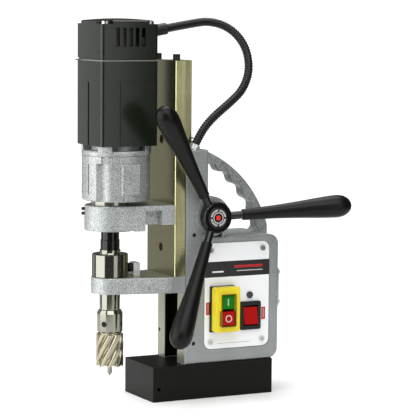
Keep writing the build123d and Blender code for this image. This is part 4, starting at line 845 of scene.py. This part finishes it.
@dataclass
class SwitchMarks:
    """Raised marks on the two push buttons, the clear guard's rim, and the lamp's rim."""

    guard: Frame = Frame("button_guard", (11.6, 106.6), (9.9, 19.7), 1.6, 0.9, -51.9, -57.2, 0.4)
    start: Frame = Frame("start_mark", (11.6, 116.4), (0.75, 4.2), 0.7, 0.55, -53.9, -54.35, 0.1)
    stop: Frame = Frame("stop_mark", (11.6, 96.8), (4.3, 4.3), 4.2, 1.0, -55.5, -55.95, 0.12)
    lamp: Frame = Frame("lamp_rim", (48.4, 121.3), (4.1, 4.1), 4.0, 1.1, -38.3, -40.4, 0.35)
    smoky: Moulded = Moulded("button_guard", (0.16, 0.10, 0.012), 0.2)
    pale: Moulded = Moulded("mark_pale", (0.72, 0.74, 0.70), 0.35)
    black: Moulded = Moulded("lamp_rim", (0.02, 0.02, 0.02), 0.25)

    def build(self) -> None:
        """Builds the marks and rims."""
        self.guard.build(self.smoky, "yellow_plastic", "stand")
        self.start.build(self.pale, "panel_white", "start_button")
        self.stop.build(self.pale, "panel_white", "stop_button")
        self.lamp.build(self.black, "black_plastic", "stand")


# ---------------------------------------------------------------- studio
@dataclass
class Studio:
    """Camera, soft lights and a plain pale floor."""

    eye: Point = (-1.09085, -2.15378, 0.47079)
    azimuth: float = -27.151
    elevation: float = 5.879
    roll: float = 0.496
    focal_widths: float = 4.793024
    sensor: float = 36.0
    clip: tuple[float, float] = (0.05, 40.0)
    middle: Point = (-0.02, 0.0, 0.22)
    floor_radius: float = 0.75
    floor_sides: int = 96
    room_light: float = 0.085
    room_seen: float = 1.15
    boxes: tuple[tuple[str, Point, tuple[float, float], float], ...] = (
        ("key_light", (-1.50, 0.05, 0.30), (2.0, 1.7), 3.2),
        ("back_light", (-0.80, 1.45, 0.25), (0.9, 1.5), 0.6),
        ("strip_light", (0.30, -1.80, 0.35), (0.8, 1.5), 1.6),
        ("front_light", (-0.35, -1.05, 1.45), (1.8, 1.2), 3.8),
        ("top_light", (0.0, 0.45, 1.6), (1.6, 1.6), 4.2),
    )

    def camera(self) -> None:
        """Places the camera: its back axis is (sin a cos e, -cos a cos e, sin e), and it rolls about that."""
        a, e, roll = map(math.radians, (self.azimuth, self.elevation, self.roll))
        back = Vector((math.sin(a) * math.cos(e), -math.cos(a) * math.cos(e), math.sin(e)))
        flat = (-back).cross(Vector((0, 0, 1))).normalized()
        upright = back.cross(flat)
        right = math.cos(roll) * flat + math.sin(roll) * upright
        up = -math.sin(roll) * flat + math.cos(roll) * upright
        data = bpy.data.cameras.new("camera")
        data.sensor_width = self.sensor
        data.lens = self.sensor * self.focal_widths
        data.clip_start, data.clip_end = self.clip
        camera = bpy.data.objects.new("camera", data)
        camera.matrix_world = Matrix((right, up, back)).transposed().to_4x4()
        camera.location = self.eye
        bpy.context.scene.collection.objects.link(camera)
        bpy.context.scene.camera = camera

    def softbox(self, name: str, offset: Point, size: tuple[float, float], radiance: float) -> None:
        """Adds a rectangular soft light that faces the machine.

        Args:
            name: The light's name.
            offset: Its place from the machine's middle, in metres.
            size: Its width and height, in metres.
            radiance: How bright its face is; its power is that times pi times its area.
        """
        data = bpy.data.lights.new(name, "AREA")
        data.shape = "RECTANGLE"
        data.size, data.size_y = size
        data.energy = radiance * math.pi * size[0] * size[1]
        light = bpy.data.objects.new(name, data)
        light.location = Vector(self.middle) + Vector(offset)
        light.rotation_mode = "QUATERNION"
        light.rotation_quaternion = (-Vector(offset)).to_track_quat("-Z", "Y")
        bpy.context.scene.collection.objects.link(light)

    def surroundings(self) -> None:
        """Sets a white room that is dimmer as a light than as a background."""
        world = bpy.data.worlds.new("room")
        bpy.context.scene.world = world
        world.use_nodes = True
        tree = world.node_tree
        tree.nodes.clear()
        seen = tree.nodes.new("ShaderNodeBackground")
        seen.inputs["Strength"].default_value = self.room_seen
        lit = tree.nodes.new("ShaderNodeBackground")
        lit.inputs["Strength"].default_value = self.room_light
        for background in (seen, lit):
            background.inputs["Color"].default_value = (1.0, 1.0, 1.0, 1.0)
        path = tree.nodes.new("ShaderNodeLightPath")
        either = tree.nodes.new("ShaderNodeMixShader")
        out = tree.nodes.new("ShaderNodeOutputWorld")
        tree.links.new(path.outputs["Is Camera Ray"], either.inputs[0])
        tree.links.new(lit.outputs[0], either.inputs[1])
        tree.links.new(seen.outputs[0], either.inputs[2])
        tree.links.new(either.outputs[0], out.inputs["Surface"])

    def floor(self) -> None:
        """Lays a round pale floor: x = r cos t, y = r sin t, z = 0."""
        turn = np.linspace(0, 2 * math.pi, self.floor_sides + 1)[:-1]
        ring = np.stack([np.cos(turn), np.sin(turn), np.zeros_like(turn)], axis=1) * self.floor_radius
        mesh = bpy.data.meshes.new("floor")
        mesh.from_pydata(ring.tolist(), [], [list(range(len(ring)))])
        plain = Recipe("floor_white")
        plain.set(base_color=(0.93, 0.93, 0.93), roughness=0.6, specular_ior_level=0.2)
        mesh.materials.append(plain.material)
        floor = bpy.data.objects.new("floor", mesh)
        bpy.context.scene.collection.objects.link(floor)

    def build(self) -> None:
        """Sets up the whole studio."""
        self.camera()
        self.surroundings()
        self.floor()
        for name, offset, size, radiance in self.boxes:
            self.softbox(name, offset, size, radiance)
        view = bpy.context.scene.view_settings
        view.view_transform = "Standard"
        view.look = "None"


# ---------------------------------------------------------------- sub-assemblies
class Wardrobe:
    def __init__(self, subparts: Iterable[dict[str, Any]]) -> None:
        """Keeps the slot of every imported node."""
        self.slots = {part["node"]: part["material_slot"] for part in subparts}
        self.bare = set(self.slots)

    def dress(self, finish: Any, *nodes: str) -> None:
        """Gives one finish to some nodes."""
        material = finish.make()
        for name in nodes:
            node = bpy.data.objects[name]
            node.data.materials.clear()
            node.data.materials.append(material)
            self.bare.discard(name)


BLACK_SCREW = Turned("black_fastener", (0.02, 0.02, 0.02), roughness=0.30, metallic=0.5)
ZINC_SCREW = Turned("zinc_fastener", (0.62, 0.62, 0.60), Axis.Y, roughness=0.22)
BLACK_MOULDING = Moulded("black_plastic", (0.006, 0.006, 0.006), 0.38, gloss=0.3)
BRONZE = Turned("bronze", (0.55, 0.40, 0.20))
GROUND_STEEL = Brushed("machined_steel", (0.50, 0.50, 0.49), Axis.Y)
PLAIN_METAL = Brushed("plain_metal", (0.62, 0.64, 0.62), Axis.X, metallic=0.7)
BLACK_OXIDE = Moulded("blackened_steel", (0.003, 0.003, 0.003), 0.14, 1.0, 0.003, gloss=0.35)
BRIGHT_STEEL = Turned("polished_steel", (0.27, 0.27, 0.225), roughness=0.06)


@dataclass(frozen=True)
class Magnet:
    """Electromagnet foot: painted steel block, windings and potting."""

    block: Moulded = Moulded("black_steel", (0.0045, 0.005, 0.0035), 0.42, 1.4, 0.05, 0.12, 0.22)
    wire: Brushed = Brushed("copper", (0.62, 0.30, 0.16), Axis.X)
    potting: Moulded = Moulded("resin", (0.05, 0.045, 0.04), 0.5)

    def build(self, wardrobe: Wardrobe) -> None:
        """Dresses the foot."""
        wardrobe.dress(self.block, "magnet_body")
        wardrobe.dress(self.wire, "magnet_coils")
        wardrobe.dress(self.potting, "magnet_potting")


@dataclass(frozen=True)
class Stand:
    """Casting with its guide, screws, back plate and cable gland."""

    casting: Hammertone = Hammertone("hammertone_guide", light=(0.50, 0.53, 0.52), machined=Machined.GUIDE)

    def build(self, wardrobe: Wardrobe) -> None:
        """Dresses the stand."""
        wardrobe.dress(self.casting, "housing")
        wardrobe.dress(BRONZE, "gib_strip", "pinion_bushes")
        wardrobe.dress(BLACK_SCREW, "gib_screws", "magnet_bolts")
        wardrobe.dress(PLAIN_METAL, "rear_cover", "conduit_gland_lower")
        wardrobe.dress(BLACK_MOULDING, "mains_gland")
        wardrobe.dress(ZINC_SCREW, "cover_screws", "shaft_circlip")


@dataclass(frozen=True)
class SwitchPanel:
    """Printed plate with the two switches, the lamp, and the board behind it."""

    plate: Printed = Printed()
    cover: Moulded = Moulded("yellow_plastic", (0.80, 0.66, 0.02), 0.35, gloss=0.35, mottle=0.03)
    green: Moulded = Moulded("green_plastic", (0.008, 0.17, 0.004), 0.32, gloss=0.1, mottle=0.04)
    red: Moulded = Moulded("red_plastic", (0.38, 0.006, 0.004), 0.32, gloss=0.1, mottle=0.04)
    lens: Moulded = Moulded("lamp_lens", (0.05, 0.05, 0.05), 0.15)
    board: Moulded = Moulded("board_green", (0.03, 0.18, 0.08), 0.4)

    def build(self, wardrobe: Wardrobe) -> None:
        """Dresses the panel and builds its raised marks."""
        wardrobe.dress(self.plate, "panel_plate")
        wardrobe.dress(self.cover, "switch_cover")
        wardrobe.dress(self.green, "start_button")
        wardrobe.dress(self.red, "stop_button", "magnet_rocker")
        wardrobe.dress(self.lens, "indicator_lamp")
        wardrobe.dress(self.board, "control_board")
        wardrobe.dress(BLACK_MOULDING, "switch_base", "rocker_bezel")
        SwitchMarks().build()


@dataclass(frozen=True)
class Feed:
    """Pinion shaft, hub and the three feed handles."""

    grip: Moulded = Moulded("grip_plastic", (0.004, 0.004, 0.0035), 0.34, 1.1, 0.02, gloss=0.16)
    disc: Dial = Dial()

    def build(self, wardrobe: Wardrobe) -> None:
        """Dresses the feed."""
        wardrobe.dress(self.grip, "feed_grips")
        wardrobe.dress(self.disc, "hub_disc")
        wardrobe.dress(BLACK_OXIDE, "capstan_hub", "feed_rods")
        wardrobe.dress(GROUND_STEEL, "pinion_shaft")


@dataclass(frozen=True)
class Carriage:
    """Slide plate with its rack, both brackets, the coolant ring and the bench stop."""

    # front=0.27 paints shade on the slide plate's -X face
    plate: Brushed = Brushed("brushed_plate", (0.60, 0.575, 0.31), Axis.Z, roughness=0.24, front=0.27)
    bracket: Hammertone = Hammertone("hammertone_top", machined=Machined.TOP)

    def build(self, wardrobe: Wardrobe) -> None:
        """Dresses the carriage."""
        wardrobe.dress(self.plate, "slide_plate")
        wardrobe.dress(self.bracket, "upper_bracket", "lower_bracket")
        wardrobe.dress(GROUND_STEEL, "feed_rack")
        wardrobe.dress(BRONZE, "arbor_bush")
        wardrobe.dress(BRIGHT_STEEL, "coolant_ring")
        wardrobe.dress(BLACK_MOULDING, "coolant_nipple")
        wardrobe.dress(PLAIN_METAL, "stop_block")
        wardrobe.dress(BLACK_SCREW, "carriage_screws")


@dataclass(frozen=True)
class Motor:
    """Motor, gear housing and everything inside them."""

    housing: Hammertone = Hammertone("hammertone_neck", machined=Machined.NECK, oiled=(0.30, 0.30, 0.27))
    lid: Hammertone = Hammertone()
    # near-black plastic; its faint green tint is a painted green reflection
    casing: Moulded = Moulded("motor_plastic", (0.007, 0.0100, 0.0055), 0.24, 0.8, 0.012, 0.40)
    # painted highlight: the gasket is pale grey to stand for the light caught along the seam under the cap
    gasket_highlight: Moulded = Moulded("motor_gasket", (0.15, 0.155, 0.14), 0.30)
    wire: Brushed = Brushed("field_copper", (0.62, 0.30, 0.16), Axis.Z)
    inner: Moulded = Moulded("motor_inner", (0.10, 0.10, 0.10), 0.3)

    def build(self, wardrobe: Wardrobe) -> None:
        """Dresses the motor."""
        wardrobe.dress(self.housing, "gear_housing")
        wardrobe.dress(self.lid, "gearbox_lid")
        wardrobe.dress(self.casing, "motor_casing", "motor_cap")
        wardrobe.dress(self.gasket_highlight, "motor_gasket")
        wardrobe.dress(self.wire, "field_windings")
        wardrobe.dress(self.inner, "bearing_bridge", "brush_holders", "cooling_fan")
        wardrobe.dress(BLACK_MOULDING, "conduit_gland_upper")
        wardrobe.dress(ZINC_SCREW, "motor_screws")
        wardrobe.dress(GROUND_STEEL, "rotor", "layshaft", "spindle_gear", "bearings", "stator")


@dataclass(frozen=True)
class Spindle:
    """Spindle, arbor, cutter and its pilot pin."""

    cutter: Turned = Turned("cutter_steel", (0.40, 0.375, 0.27), roughness=0.15, depth=0.0)

    def build(self, wardrobe: Wardrobe) -> None:
        """Dresses the spindle."""
        wardrobe.dress(BLACK_OXIDE, "spindle")
        wardrobe.dress(BRIGHT_STEEL, "arbor", "pilot_pin")
        wardrobe.dress(BLACK_SCREW, "arbor_screws")
        finish_piece(Cutter().build(), self.cutter, "spindle")
        PilotSpring().build()


def main() -> None:
    """Builds the machine's looks in order."""
    logging.basicConfig(level=logging.INFO, format="%(name)s: %(message)s")
    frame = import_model()
    Studio().build()
    wardrobe = Wardrobe(frame["record"]["subparts"])
    for assembly in (Magnet(), Stand(), SwitchPanel(), Feed(), Carriage(), Motor(), Spindle()):
        assembly.build(wardrobe)
    Conduit().build()
    LOG.info("nodes that a finer piece replaces: %s", sorted(wardrobe.bare))


if __name__ == "__main__":
    main()
